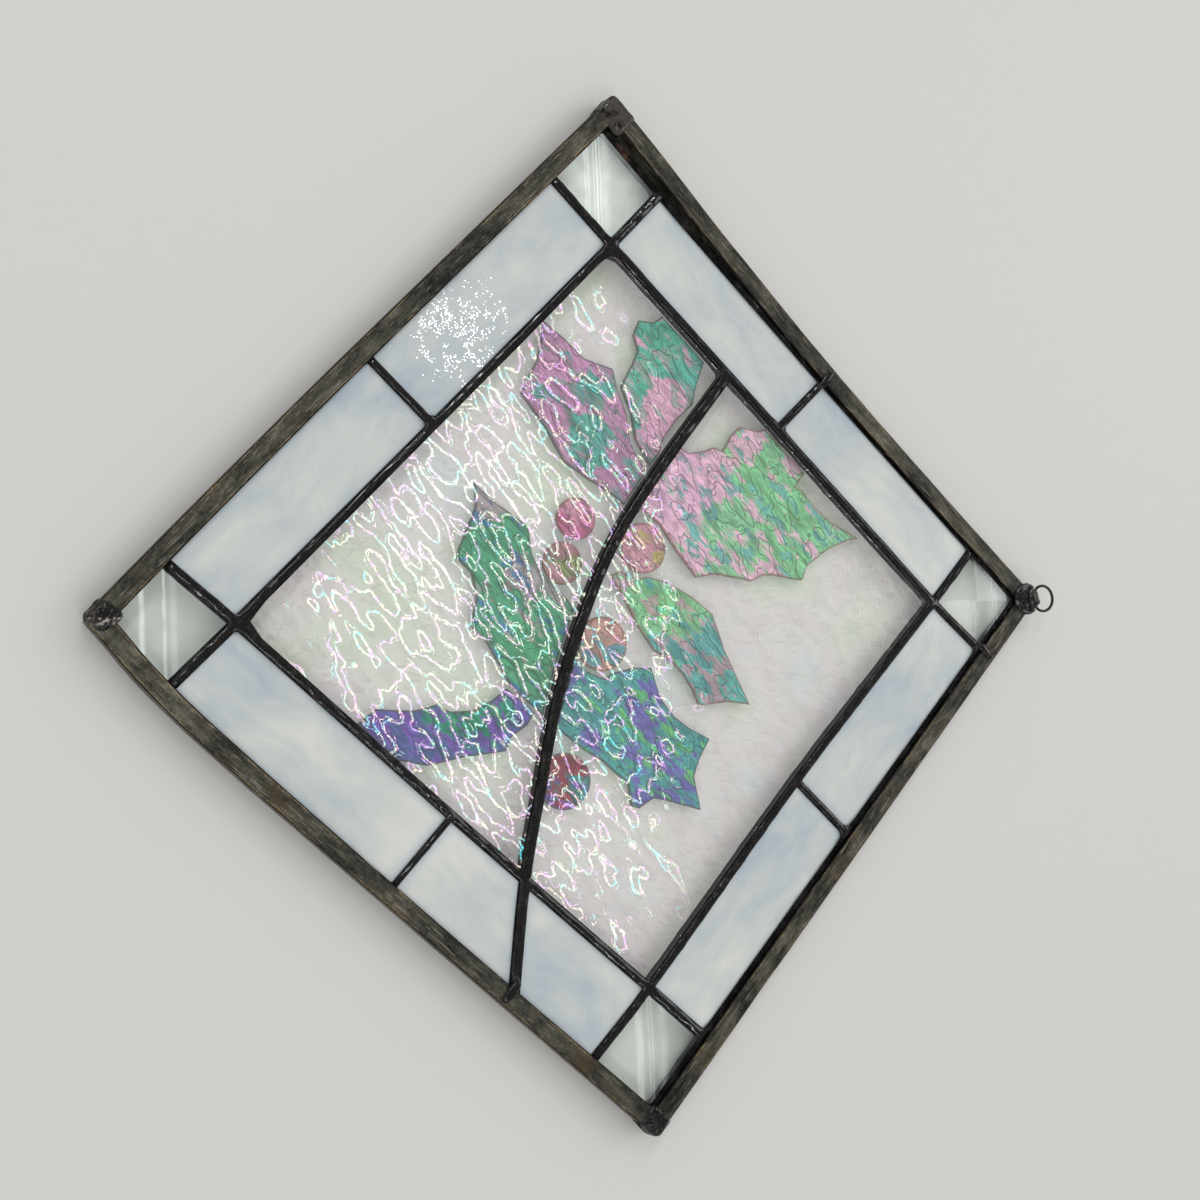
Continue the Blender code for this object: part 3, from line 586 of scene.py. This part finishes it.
# %% Hanging ring
bm = square_on("hanging_ring")
bmesh.ops.subdivide_edges(bm, edges=bm.edges[:], cuts=1, use_grid_fill=True, smooth=1.0)
for vert in bm.verts:
    vert.co += vert.normal * (soft_noise(vert.co, 0.0016, 4.0) * 0.00005 - 0.0001)
press_within_depth(bm)
hang("dressed_hanging_ring", bm, joint_black, "hanging_ring")

# %% [markdown]
# Glass lets light through. A path tracer would need a long time to find the light that a refracting pane
# throws on what lies behind it, so for shadow rays and for scattered light the glass is a plain tinted
# window, and only what is seen or mirrored meets the real glass. Milky glass lets most of it through too.

# %% Light through glass
def let_light_through(made, tint):
    tree = made.node_tree
    shader, out = tree.nodes["Principled BSDF"], tree.nodes["Material Output"]
    window = add(tree, "BsdfTransparent", (*tint, 1))
    path = add(tree, "LightPath").outputs
    passing = larger(tree, path["Is Shadow Ray"], path["Is Diffuse Ray"])
    choice = add(tree, "MixShader", passing, shader, window)
    tree.links.new(choice.outputs[0], out.inputs["Surface"])


print("light passes through glass")

# %% [markdown]
# The opal borders are milky glass with pale wisps, bluish where the glass is thin and at its edges. Light
# scatters inside it, so it is a mostly diffuse surface under a gloss. Stretched noise, folded on itself by a
# second noise, makes wisps that curl like stirred milk.

# %% Wisps group
wisps, wisps_in, wisps_out = shared_effect(
    "milky_wisps", [("Place", "Vector", None), ("Size", "Float", 20.0), ("Stretch", "Vector", (1, 1, 0.3))],
    [("Wisp", "Float"), ("Cloud", "Float")])
curl = noisy(wisps, wisps_in["Place"], 26.0, 3.0, 0.5)
turned_by = scaled(wisps, curl.outputs["Color"], (0.03, 0.03, 0.03))
curled = vector_math(wisps, "ADD", wisps_in["Place"], turned_by)
along_wisps = scaled(wisps, curled, wisps_in["Stretch"])
streaks = noisy(wisps, along_wisps, wisps_in["Size"], 7.0, 0.6)
cloud = noisy(wisps, wisps_in["Place"], 14.0, 4.0, 0.55)
feed_all(wisps, wisps_out, Wisp=streaks, Cloud=cloud)


def opal_finish(name, stretch, painted_glints=False):
    made, tree, shader, place = finish(name)
    milk = use(tree, wisps, Place=place, Size=120.0, Stretch=stretch)
    tone = times_plus(tree, milk["Cloud"], 0.62, product(tree, milk["Wisp"], 0.38))
    colour = ramp(tree, tone, (0.38, paint(162, 173, 184)), (0.45, paint(176, 184, 188)),
                  (0.52, paint(188, 193, 191)), (0.63, paint(202, 204, 200)))
    rim = attribute(tree, "rim")
    thin = product(tree, between(tree, rim, 0.1, 1.0), between(tree, milk["Cloud"], 0.35, 0.6))
    colour = mixed(tree, product(tree, thin, 0.5), colour, paint(150, 168, 188))
    feed_all(tree, shader.inputs, Base_Color=colour, Roughness=0.22, IOR=1.45)
    bumped(tree, shader, milk["Wisp"], 0.12, 0.001)
    # Painted glints: on one border piece, dots of emission stand for the window mirrored in its roughened
    # front.
    if painted_glints:
        painted_glint_colour = mixed(tree, painted_glint_dots(tree, place), (0, 0, 0, 1), (1, 1, 1, 1))
        feed_all(tree, shader.inputs, Emission_Color=painted_glint_colour, Emission_Strength=3.0)
    let_light_through(made, (0.84, 0.87, 0.88))
    return made


def painted_glint_dots(tree, place):
    """Painted glints: fine dots of emission in drifts on the front, where the window would be mirrored by the
    roughened glass.
    """
    reach = scaled(tree, vector_math(tree, "SUBTRACT", place, (0.0175, 0, 0.1355)), (1, 0, 0.75))
    near = between(tree, length_of(tree, reach), 0.018, 0.008)
    drift = noisy(tree, place, 260.0, 3.0, 0.6)
    gathered = times_plus(tree, near, 0.13, drift.outputs[0])
    front = between(tree, add(tree, "SeparateXYZ", place).outputs["Y"], -0.0006, -0.0012)
    shown = product(tree, near, front)
    cover = product(tree, between(tree, gathered, 0.56, 0.74), shown)
    cells = add(tree, "TexVoronoi", place, None, 1900.0)
    drawn = add(tree, "SeparateXYZ", cells.outputs["Color"]).outputs["X"]
    chosen = math_node(tree, "LESS_THAN", drawn, product(tree, cover, 0.8))
    return product(tree, chosen, between(tree, cells.outputs["Distance"], 0.42, 0.2))


opal_x = opal_finish("opal_glass_x", (0.35, 1, 1))
opal_z = opal_finish("opal_glass_z", (1, 1, 0.35))
opal_painted_glints = opal_finish("opal_glass_painted_glints", (1, 1, 0.35), painted_glints=True)
print("opal finishes", opal_x.name, opal_z.name, opal_painted_glints.name)

# %% [markdown]
# A border piece was cut from a sheet that isn't quite flat. Its edges are softened, its faces are cut into
# small squares and dented by a slow noise, and an attribute says how near a point is to the outline, where
# the glass looks bluer. The front and back only ever move inwards, so the piece stays between its seams.

# %% Border pieces
RIM_WIDTH = 0.0045


def dress_border(node, material):
    bm = square_on(node)
    arrises = outline_edges(bm)
    outline = [(e.verts[0].co.copy(), e.verts[1].co.copy()) for e in arrises if e.verts[0].co.y < 0]
    bmesh.ops.bevel(bm, geom=arrises, offset=0.0003, segments=2, profile=0.5, affect="EDGES", material=-1)
    for direction, index in (((1, 0, 0), 0), ((0, 0, 1), 2)):
        spans = [v.co[index] for v in bm.verts]
        cut_in_lanes(bm, direction, 0.0022, min(spans), max(spans))
    rim = bm.verts.layers.float.new("rim")
    for vert in bm.verts:
        point = Vector((vert.co.x, outline[0][0].y, vert.co.z))
        gaps = []
        for start, end in outline:
            nearest, share = intersect_point_line(point, start, end)
            nearest = start if share < 0 else end if share > 1 else nearest
            gaps.append((point - nearest).length)
        vert[rim] = max(0.0, 1 - min(gaps) / RIM_WIDTH)
        if abs(vert.co.y) > glass_half - 0.00001:
            vert.co.y *= 1 - 0.05 * (0.5 + 0.5 * soft_noise(vert.co, 0.014, 6.0))
    hang(f"dressed_{node}", bm, material, node, smooth_below=30)


for node in nodes:
    if node.startswith("border_"):
        along_z = "lower_left" in node or "upper_right" in node
        dress_border(node, opal_painted_glints if node == "border_lower_left_2" else opal_z if along_z else opal_x)

# %% [markdown]
# The corner squares and the centre panes are clear. Both start from the same plain glass.

# %% Clear glass
def clear_finish(name, tint):
    made, tree, shader, place = finish(name)
    feed_all(tree, shader.inputs, Base_Color=(*tint, 1), Transmission_Weight=1, Roughness=0, IOR=1.5)
    let_light_through(made, tint)
    return made, tree, shader, place


print("clear glass helpers ready")

# %% [markdown]
# Each corner square is clear glass with bevelled edges. The thin bright streaks that the bevels throw are
# painted in as emission, over a faint painted glow on all of the square, and run across the hanging panel at
# fixed heights. A streak is where the height differs little from its own; its strength wavers along its
# length.

# %% Bevelled squares
# The faint painted glow that every bevelled square gives off.
BEVEL_PAINTED_GLOW = 0.09


def bevel_finish(name, streaks):
    """streaks are the painted streaks of light, each as (height of the streak, half its width, strength), in
    metres.
    """
    made, tree, shader, place = clear_finish(name, (0.965, 0.99, 0.975))
    height = add(tree, "SeparateXYZ", add(tree, "TexCoord").outputs["Object"]).outputs["Z"]
    waver = noisy(tree, place, 160.0, 3.0, 0.5)
    bowed = times_plus(tree, waver.outputs[0], 0.0006, difference(tree, height, 0.0003))
    painted_glow = BEVEL_PAINTED_GLOW
    for level, half, strength in streaks:
        off = math_node(tree, "ABSOLUTE", difference(tree, bowed, level))
        painted_glow = times_plus(tree, between(tree, off, half, half * 0.35), strength, painted_glow)
    painted_glow = product(tree, painted_glow, between(tree, waver.outputs[0], 0.3, 0.55, 0.4, 1.0))
    painted_sheen = mixed(tree, painted_glow, (0, 0, 0, 1), (0.9, 1, 0.95, 1))
    feed_all(tree, shader.inputs, Emission_Color=painted_sheen, Emission_Strength=0.27)
    bumped(tree, shader, waver, 0.06, 0.001)
    return made


# Painted streaks of light on each bevelled square, as the bevels would throw them.
bevel_painted_streaks = {
    "bottom": [(-0.3137, 0.0009, 0.55), (-0.3079, 0.0003, 0.8), (-0.3055, 0.0012, 0.2)],
    "left": [(-0.1768, 0.0005, 0.8), (-0.1738, 0.0003, 1.0), (-0.1727, 0.0004, 0.7), (-0.1705, 0.0018, 0.25),
             (-0.171, 0.02, 0.3)],
    "right": [(-0.171, 0.0009, 0.5), (-0.1672, 0.0004, 0.45), (-0.163, 0.0016, 0.25)],
    "top": [(-0.0234, 0.0004, 0.5), (-0.0225, 0.006, 0.4), (-0.0192, 0.001, 0.3)],
}
for corner, streaks in bevel_painted_streaks.items():
    bm = square_on(f"bevel_{corner}")
    ridges = [e for e in bm.edges if len(e.link_faces) == 2 and 0.02 < e.calc_face_angle(0) < 0.6]
    bmesh.ops.bevel(bm, geom=ridges, offset=0.0007, segments=3, profile=0.5, affect="EDGES", material=-1)
    bevel_glass = bevel_finish(f"bevel_glass_{corner}", streaks)
    hang(f"dressed_bevel_{corner}", bm, bevel_glass, f"bevel_{corner}", smooth_below=30)

# %% [markdown]
# The centre panes are rippled: the sheet was rolled with long drops standing in it, about 4 mm wide and 9 mm
# long. Where such a surface mirrors a window, the bright points join up into lines of equal slope. Here those
# mirrored lines are painted reflections: the level lines of a soft noise that is squeezed along the drops.
# Where the level is the noise's middle value they join into a net, and where it is a high one they are small
# closed loops. How steep the noise is at a point comes from two more readings close by. Dividing by it turns
# a difference of value into a distance, so that a line is as wide everywhere. A fine noise frays the lines.

# %% Rippled skin group
skin, skin_in, skin_out = shared_effect(
    "rippled_skin", [("Place", "Vector", None), ("Size", "Float", 235.0)],
    [("Swell", "Float"), ("Slope", "Float"), ("Second", "Float"), ("Fine", "Float")])
STEP = 0.00025                         # how far off the steepness is read, in metres
LEAST_SLOPE = 22.0                     # keeps a line from spreading where the noise is level
ALONG_DROPS = 0.46                     # how much longer a drop is than it is wide
DROP_LEAN = 0.16


def drops(x_step, z_step, shift=(0, 0, 0), detail=0.6):
    parts = add(skin, "SeparateXYZ", vector_math(skin, "ADD", skin_in["Place"], (x_step, 0, z_step)))
    leaning = times_plus(skin, parts.outputs["X"], DROP_LEAN, parts.outputs["Z"])
    squeezed = add(skin, "CombineXYZ", product(skin, parts.outputs["X"], ALONG_DROPS), 0.0, leaning)
    moved = vector_math(skin, "ADD", squeezed, shift)
    return noisy(skin, moved, skin_in["Size"], detail, 0.5).outputs[0]


swell = drops(0, 0)
rise_x = difference(skin, drops(STEP, 0), swell)
rise_z = difference(skin, drops(0, STEP), swell)
steep = length_of(skin, add(skin, "CombineXYZ", rise_x, 0.0, rise_z))
fine = noisy(skin, skin_in["Place"], 1700.0, 3.0, 0.8)
slope = larger(skin, math_node(skin, "DIVIDE", steep, STEP), LEAST_SLOPE)
second = drops(0, 0, (0.37, 0, 0.21), 1.0)
feed_all(skin, skin_out, Swell=swell, Slope=slope, Second=second, Fine=fine)


def level_line(tree, value, level, half_width):
    """1 on the line where a value has a level, 0 away from it."""
    off = math_node(tree, "ABSOLUTE", difference(tree, value, level))
    return between(tree, off, half_width, half_width * 0.4)


def drop_line(tree, drop, level, half_width, fray):
    """The line round the drops at a level; its half width and how far it frays are in metres."""
    off = math_node(tree, "ABSOLUTE", difference(tree, drop["Swell"], level))
    distance = math_node(tree, "DIVIDE", off, drop["Slope"])
    frayed = times_plus(tree, difference(tree, drop["Fine"], 0.5), fray, distance)
    return between(tree, frayed, half_width, half_width * 0.6)


print("group", skin.name)

# %% [markdown]
# The skin of this glass is iridescent. Where the painted glitter is strongest the lines are white, and
# farther off they are cyan, pink and green. How far a point is from the middle of this painted glitter is
# measured along and across the slanting band that it fills. The lines' colour goes to the shader's emission,
# for it is brighter than anything that only scatters light, over a faint painted glow and a painted halo
# beside the lines. Under the painted lines the glass's own colour is darkened, and finer dark lines round the
# drops and darker hollows between them are painted into it as shade.

# %% Rippled glass
ripple_glass, tree, shader, place = clear_finish("ripple_glass", (0.99, 0.995, 0.99))
ripple = use(tree, skin, Place=place)
from_middle = vector_math(tree, "SUBTRACT", place, (0.0788, 0, 0.0857))
band_along = dot(tree, from_middle, (0.765, 0, -0.644))
band_across = dot(tree, from_middle, (0.644, 0, 0.765))
reach = add(tree, "CombineXYZ", product(tree, band_along, 13.5), product(tree, band_across, 29.0), 0.0)
away = length_of(tree, reach)
level = between(tree, away, 0.7, 2.6, 0.5, 0.75)
first_line = drop_line(tree, ripple, level, 0.00006, 0.0016)
higher = math_node(tree, "ADD", level, 0.055)
second_line = product(tree, drop_line(tree, ripple, higher, 0.00006, 0.0011),
                      between(tree, ripple["Second"], 0.5, 0.54))
lower = difference(tree, level, 0.075)
lower_line = product(tree, drop_line(tree, ripple, lower, 0.00006, 0.0011),
                     between(tree, ripple["Second"], 0.48, 0.44))
lines = larger(tree, larger(tree, first_line, second_line), lower_line)
dotted = between(tree, ripple["Fine"], 0.56, 0.44, 0.3, 1.0)
depth = add(tree, "SeparateXYZ", place).outputs["Y"]
shown = product(tree, between(tree, away, 2.2, 1.6), between(tree, depth, -0.0004, -0.001))
# Painted reflection: the dotted lines, shown only on the front and near the band.
painted_glint = product(tree, product(tree, lines, dotted), shown)
painted_halo = product(tree, drop_line(tree, ripple, level, 0.0004, 0.0022), shown)
hue = noisy(tree, place, 230.0, 3.0, 0.6)
fringe = ramp(tree, hue.outputs[0], (0.36, (0.1, 0.8, 0.9)), (0.44, (0.75, 1, 0.8)), (0.5, (1, 0.9, 0.6)),
              (0.55, (1, 0.45, 0.9)), (0.61, (0.65, 0.35, 1)), (0.68, (0.4, 1, 0.5)))
whiter = mixed(tree, between(tree, away, 1.3, 0.3, 0.0, 0.6), fringe, (1, 0.97, 0.98, 1))
# A faint painted glow all over, and a painted halo beside the lines.
painted_glow = mixed(tree, product(tree, painted_halo, 0.3), (0.012, 0.012, 0.012, 1), fringe)
feed_all(tree, shader.inputs, IOR=1.3, Emission_Color=mixed(tree, painted_glint, painted_glow, whiter),
         Emission_Strength=1.35)
cloud = noisy(tree, place, 26.0, 2.0, 0.5)
ground = ramp(tree, cloud.outputs[0], (0.36, (0.92, 0.995, 0.88)), (0.46, (0.985, 0.995, 0.96)),
              (0.55, (1, 0.95, 0.98)), (0.66, (0.94, 1, 0.995)))
# Painted shade: dark lines round the drops, darker hollows, and darker glass under the painted lines.
painted_shade_marks = larger(tree, level_line(tree, ripple["Second"], 0.58, 0.02),
               level_line(tree, ripple["Second"], 0.42, 0.014))
painted_shade_marks = larger(tree, painted_shade_marks, drop_line(tree, ripple, 0.56, 0.0002, 0.0006))
painted_hollow_shade = product(tree, between(tree, ripple["Second"], 0.56, 0.68), 0.5)
painted_shade_marks = math_node(tree, "ADD", painted_shade_marks, painted_hollow_shade)
shade = times_plus(tree, painted_shade_marks, -0.13, times_plus(tree, painted_glint, -0.5, 1.0))
feed(tree, tinted(tree, ground, shade), shader.inputs["Base Color"])
bumped(tree, shader, math_node(tree, "ADD", ripple["Swell"], ripple["Second"]), 0.35, 0.0008)
print("rippled glass ready")

# %% [markdown]
# The panes themselves have the drops as a low relief on their fronts, from the same squeezed coordinates, so
# that their edges of light bend as on a real rolled sheet. The front only moves inwards.

# %% Rippled panes
def relief(point):
    """Height of the rolled drops over the plain face, in metres."""
    squeezed = Vector((point.x * ALONG_DROPS, 0, point.z + point.x * DROP_LEAN))
    return noise.noise(squeezed * 235) * 0.00012


for half in ("left", "right"):
    bm = square_on(f"pane_{half}")
    cut_in_lanes(bm, (1, 0, 0), 0.0012, 0.02, 0.21)
    cut_in_lanes(bm, (0, 0, 1), 0.0009, 0.02, 0.21)
    for vert in bm.verts:
        if vert.co.y < -glass_half + 0.00001:
            vert.co.y += 0.00008 - relief(vert.co)
    hang(f"dressed_pane_{half}", bm, ripple_glass, f"pane_{half}", smooth_below=60)

# %% [markdown]
# The holly is cut from glass with a thin metallic film, as colourful as a soap bubble. Its colours lie in
# small crisp patches that are drawn out along the sheet: a ground, a second colour whose share changes over
# the leaf, and a few flecks of a third. The drops in the pane before it bend the light into dark lines over
# it and lighten and darken it, so the group paints that in as shade, from the same noise as the pane's.
# Each leaf and berry sets its own colours, and a few soft spots that change the second colour's share.

# %% Film colour group
film, film_in, film_out = shared_effect(
    "film_colour_and_drop_shade",
    [("Place", "Vector", None), ("Ground", "Color", (0.5, 0.3, 0.4, 1)),
     ("Patch", "Color", (0.1, 0.4, 0.3, 1)), ("Fleck", "Color", (0.2, 0.2, 0.5, 1)),
     ("Share", "Float", 0.5), ("Flecks", "Float", 0.3)],
    [("Colour", "Color"), ("Height", "Float")])
drawn_out = scaled(film, film_in["Place"], (0.42, 1, 1))
patchy = noisy(film, drawn_out, 210.0, 5.0, 0.62)
over_half = difference(film, film_in["Share"], 0.5)
leant = times_plus(film, over_half, 0.34, patchy.outputs[0])
patched = mixed(film, between(film, leant, 0.45, 0.55), film_in["Ground"], film_in["Patch"])
flecked = noisy(film, vector_math(film, "ADD", drawn_out, (0.11, 0, 0.35)), 330.0, 3.0, 0.6)
leant = times_plus(film, film_in["Flecks"], 0.3, flecked.outputs[0])
fleck_share = product(film, between(film, leant, 0.66, 0.71), 0.85)
coloured = mixed(film, fleck_share, patched, film_in["Fleck"])
brushed = noisy(film, scaled(film, film_in["Place"], (0.2, 1, 1)), 900.0, 3.0, 0.6)
value = between(film, brushed.outputs[0], 0.3, 0.7, 0.78, 1.16)
rippled = use(film, skin, Place=film_in["Place"])
# Painted shade: the pane's drops darken and lighten the film.
value = product(film, value, between(film, rippled["Second"], 0.3, 0.6, 0.72, 1.12))
tone_and_drop_shade = tinted(film, coloured, value)
# Painted shade: dark lines where the pane's drops bend the light.
painted_dark_lines = larger(film, level_line(film, rippled["Second"], 0.56, 0.014),
              drop_line(film, rippled, 0.56, 0.00028, 0.0006))
fainter = product(film, drop_line(film, rippled, 0.45, 0.00022, 0.0006), 0.5)
painted_dark_lines = product(film, larger(film, painted_dark_lines, fainter), 0.55)
feed_all(film, film_out, Colour=mixed(film, painted_dark_lines, tone_and_drop_shade, (0.025, 0.035, 0.032, 1)), Height=patchy)
print("group", film.name)

# %% [markdown]
# Now each leaf and berry gets its colours as they are seen in the picture, 0 to 255. The pane before them
# mirrors a little of the room, which is taken off again. A spot changes the second colour's share.

# %% Film finishes
VEIL = 0.012


def film_finish(name, ground, patch, fleck, share, flecks, spots, rim_colour=(78, 84, 80)):
    """spots are (x, z, radius, share there), the first three in millimetres."""
    made, tree, shader, place = finish(name)
    for x, z, radius, there in spots:
        away = vector_math(tree, "SUBTRACT", place, (x / 1000, 0, z / 1000))
        level = scaled(tree, away, (1, 0, 1))
        inside = between(tree, length_of(tree, level), radius / 1000 * 1.2, radius / 1000 * 0.6)
        mix = add(tree, "Mix", inside, data_type="FLOAT")
        feed(tree, share, mix.inputs[2])
        feed(tree, there, mix.inputs[3])
        share = mix.outputs[0]
    skin_here = use(tree, film, Place=place, Ground=paint(*ground, VEIL), Patch=paint(*patch, VEIL),
                    Fleck=paint(*fleck, VEIL), Share=share, Flecks=flecks)
    rim = attribute(tree, "rim")
    colour = mixed(tree, between(tree, rim, 0.25, 0.8, 0.0, 0.75), skin_here["Colour"], paint(*rim_colour))
    feed_all(tree, shader.inputs, Base_Color=colour, Roughness=0.35, IOR=1.25)
    bumped(tree, shader, skin_here["Height"], 0.2, 0.0008)
    let_light_through(made, (0.55, 0.6, 0.57))
    return made


BROWN_EDGE = (128, 96, 88)
film_looks = {
    "leaf_1": ((176, 132, 166), (88, 156, 148), (118, 134, 130), 0.22, 0.35,
        [(70, 143, 10, 0.9), (60, 156, 7, 0.7), (84, 150, 9, 0.4), (42, 156, 12, 0.05)]),
    "leaf_2": ((88, 168, 154), (208, 160, 190), (132, 150, 146), 0.34, 0.4,
        [(81, 171, 9, 0.95), (84, 160, 7, 0.8)]),
    "leaf_3": ((78, 150, 116), (150, 142, 144), (70, 120, 165), 0.3, 0.3,
        [(58, 104, 9, 0.85), (66, 92, 9, 0.05), (92, 84, 10, 0.4), (84, 97, 9, 0.7)]),
    "leaf_4": ((86, 98, 150), (46, 132, 108), (116, 84, 170), 0.2, 0.5,
        [(92, 50, 9, 0.75), (104, 60, 8, 0.6), (80, 36, 9, 0.05)]),
    "leaf_5": ((212, 172, 196), (128, 188, 146), (104, 164, 166), 0.66, 0.36,
        [(103, 146, 13, 0.12), (103, 164, 13, 0.1), (105, 184, 11, 0.12), (118, 145, 8, 0.4),
         (128, 150, 8, 0.62)], BROWN_EDGE),
    "leaf_6": ((124, 184, 138), (92, 160, 158), (172, 144, 154), 0.3, 0.45,
        [(150, 118, 15, 0.85), (135, 112, 9, 0.7), (112, 116, 9, 0.1)], BROWN_EDGE),
    "leaf_7": ((80, 148, 146), (106, 104, 166), (102, 178, 112), 0.34, 0.3,
        [(140, 96, 9, 0.65), (134, 80, 9, 0.2), (158, 84, 10, 0.35)]),
    "berry_1": ((164, 120, 128), (130, 136, 96), (140, 116, 113), 0.4, 0.4,
        [(92, 110, 4, 0.9)], BROWN_EDGE),
    "berry_2": ((172, 104, 136), (192, 138, 162), (140, 100, 120), 0.4, 0.3, [], BROWN_EDGE),
    "berry_3": ((190, 140, 158), (168, 158, 104), (155, 127, 134), 0.15, 0.3,
        [(112, 132, 4, 0.95)], BROWN_EDGE),
    "berry_4": ((184, 142, 136), (104, 150, 158), (150, 136, 120), 0.3, 0.4,
        [(121, 101, 4, 0.9)], BROWN_EDGE),
    "berry_5": ((140, 74, 84), (78, 128, 126), (104, 84, 150), 0.15, 0.35,
        [(132, 54, 5, 0.9), (140, 62, 5, 0.85)], (96, 90, 96)),
}
film_finishes = {name: film_finish(f"{name}_film", *look) for name, look in film_looks.items()}
print(len(film_finishes), "film finishes")

# %% [markdown]
# A leaf or berry is a thin cut piece. Its edges are softened, and a narrow band inside them carries an
# attribute, so that the rim can be darker or browner than the film.

# %% Leaves and berries
def dress_film_piece(node, material):
    bm = square_on(node)
    arrises = outline_edges(bm)
    bmesh.ops.bevel(bm, geom=arrises, offset=0.0003, segments=2, profile=0.5, affect="EDGES", material=-1)
    rim = bm.verts.layers.float.new("rim")
    for vert in bm.verts:
        vert[rim] = 1.0
    fronts = [f for f in bm.faces if abs(f.normal.y) > 0.99]
    bmesh.ops.inset_region(bm, faces=fronts, thickness=0.0006, use_even_offset=True)
    for face in fronts:
        for vert in face.verts:
            vert[rim] = 0.0
    hang(f"dressed_{node}", bm, material, node, smooth_below=30)


for name, material in film_finishes.items():
    dress_film_piece(f"holly_{name}", material)

# %% [markdown]
# The panel hangs just before a pale surface, as it lies on one in the picture. Seen from behind, that surface
# isn't there, so that the panel's back can be looked at. A floor of the same colour is far below.

# %% Table and floor
def plain_stage(name, size, matrix, material):
    bm = bmesh.new()
    bmesh.ops.create_grid(bm, x_segments=1, y_segments=1, size=size)
    bmesh.ops.transform(bm, matrix=matrix, verts=bm.verts)
    made = meshed(name, bm, material)


def pale_finish(name):
    made, tree, shader, _ = finish(name)
    feed_all(tree, shader.inputs, Base_Color=(0.72, 0.715, 0.7, 1), Roughness=0.6)
    return made, tree, shader


table_white, tree, shader = pale_finish("table_white")
see_past = add(tree, "BsdfTransparent", (1, 1, 1, 1))
one_sided = add(tree, "MixShader", add(tree, "NewGeometry").outputs["Backfacing"], shader, see_past)
tree.links.new(one_sided.outputs[0], tree.nodes["Material Output"].inputs["Surface"])
floor_white, _, _ = pale_finish("floor_white")
just_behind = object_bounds()[1][1] + 0.0008
standing = Matrix.Translation((0, just_behind, 0)) @ Matrix.Rotation(math.pi / 2, 4, "X")
plain_stage("backdrop", 1.6, standing, table_white)
plain_stage("floor", 4, Matrix.Translation((0, 0, -1.05)), floor_white)
print("backdrop at y", round(just_behind, 4))

# %% [markdown]
# The light is soft: a pale room all round and a wide lamp high up. Two long narrow lamps lie along the two
# ways that the seams run, where flat glass doesn't mirror them to the camera but round beads of solder do, so
# that each bead gets a thin bright line. In mirrors the room is darker than as a light, which keeps the
# solder black.

# %% Lights
world = bpy.data.worlds.new("studio")
bpy.context.scene.world = world
world.use_nodes = True
ROOM_LIGHT, ROOM_MIRRORED = 0.71, 0.26
sky = world.node_tree
room = sky.nodes["Background"]
room.inputs["Color"].default_value = (1.0, 0.995, 0.98, 1)
path = add(sky, "LightPath").outputs
mirrored = difference(sky, path["Is Glossy Ray"], path["Is Transmission Ray"])
feed(sky, between(sky, mirrored, 0.0, 1.0, ROOM_LIGHT, ROOM_MIRRORED), room.inputs["Strength"])


def soft_light(name, at, size, power, slant=0.0):
    """An area light that looks at the panel's middle, turned about its own axis by the slant."""
    data = bpy.data.lights.new(name, "AREA")
    data.shape = "RECTANGLE"
    data.size, data.size_y = size
    data.energy = power
    light = put_in_scene(name, data)
    light.location = at
    facing = (PANEL_MIDDLE - Vector(at)).to_track_quat("-Z", "Y").to_matrix()
    light.rotation_euler = (facing @ Matrix.Rotation(math.radians(slant), 3, "Z")).to_euler()
    light.visible_camera = False


soft_light("left_window", (-0.93, -1.15, -0.32), (1.1, 0.05), 3.0, -45)
soft_light("right_window", (0.8, -1.15, -0.36), (1.1, 0.05), 2.2, 45)
soft_light("high_lamp", (-0.4, -1.0, 1.3), (0.9, 0.6), 4.0)

bpy.context.scene.view_settings.view_transform = "Standard"
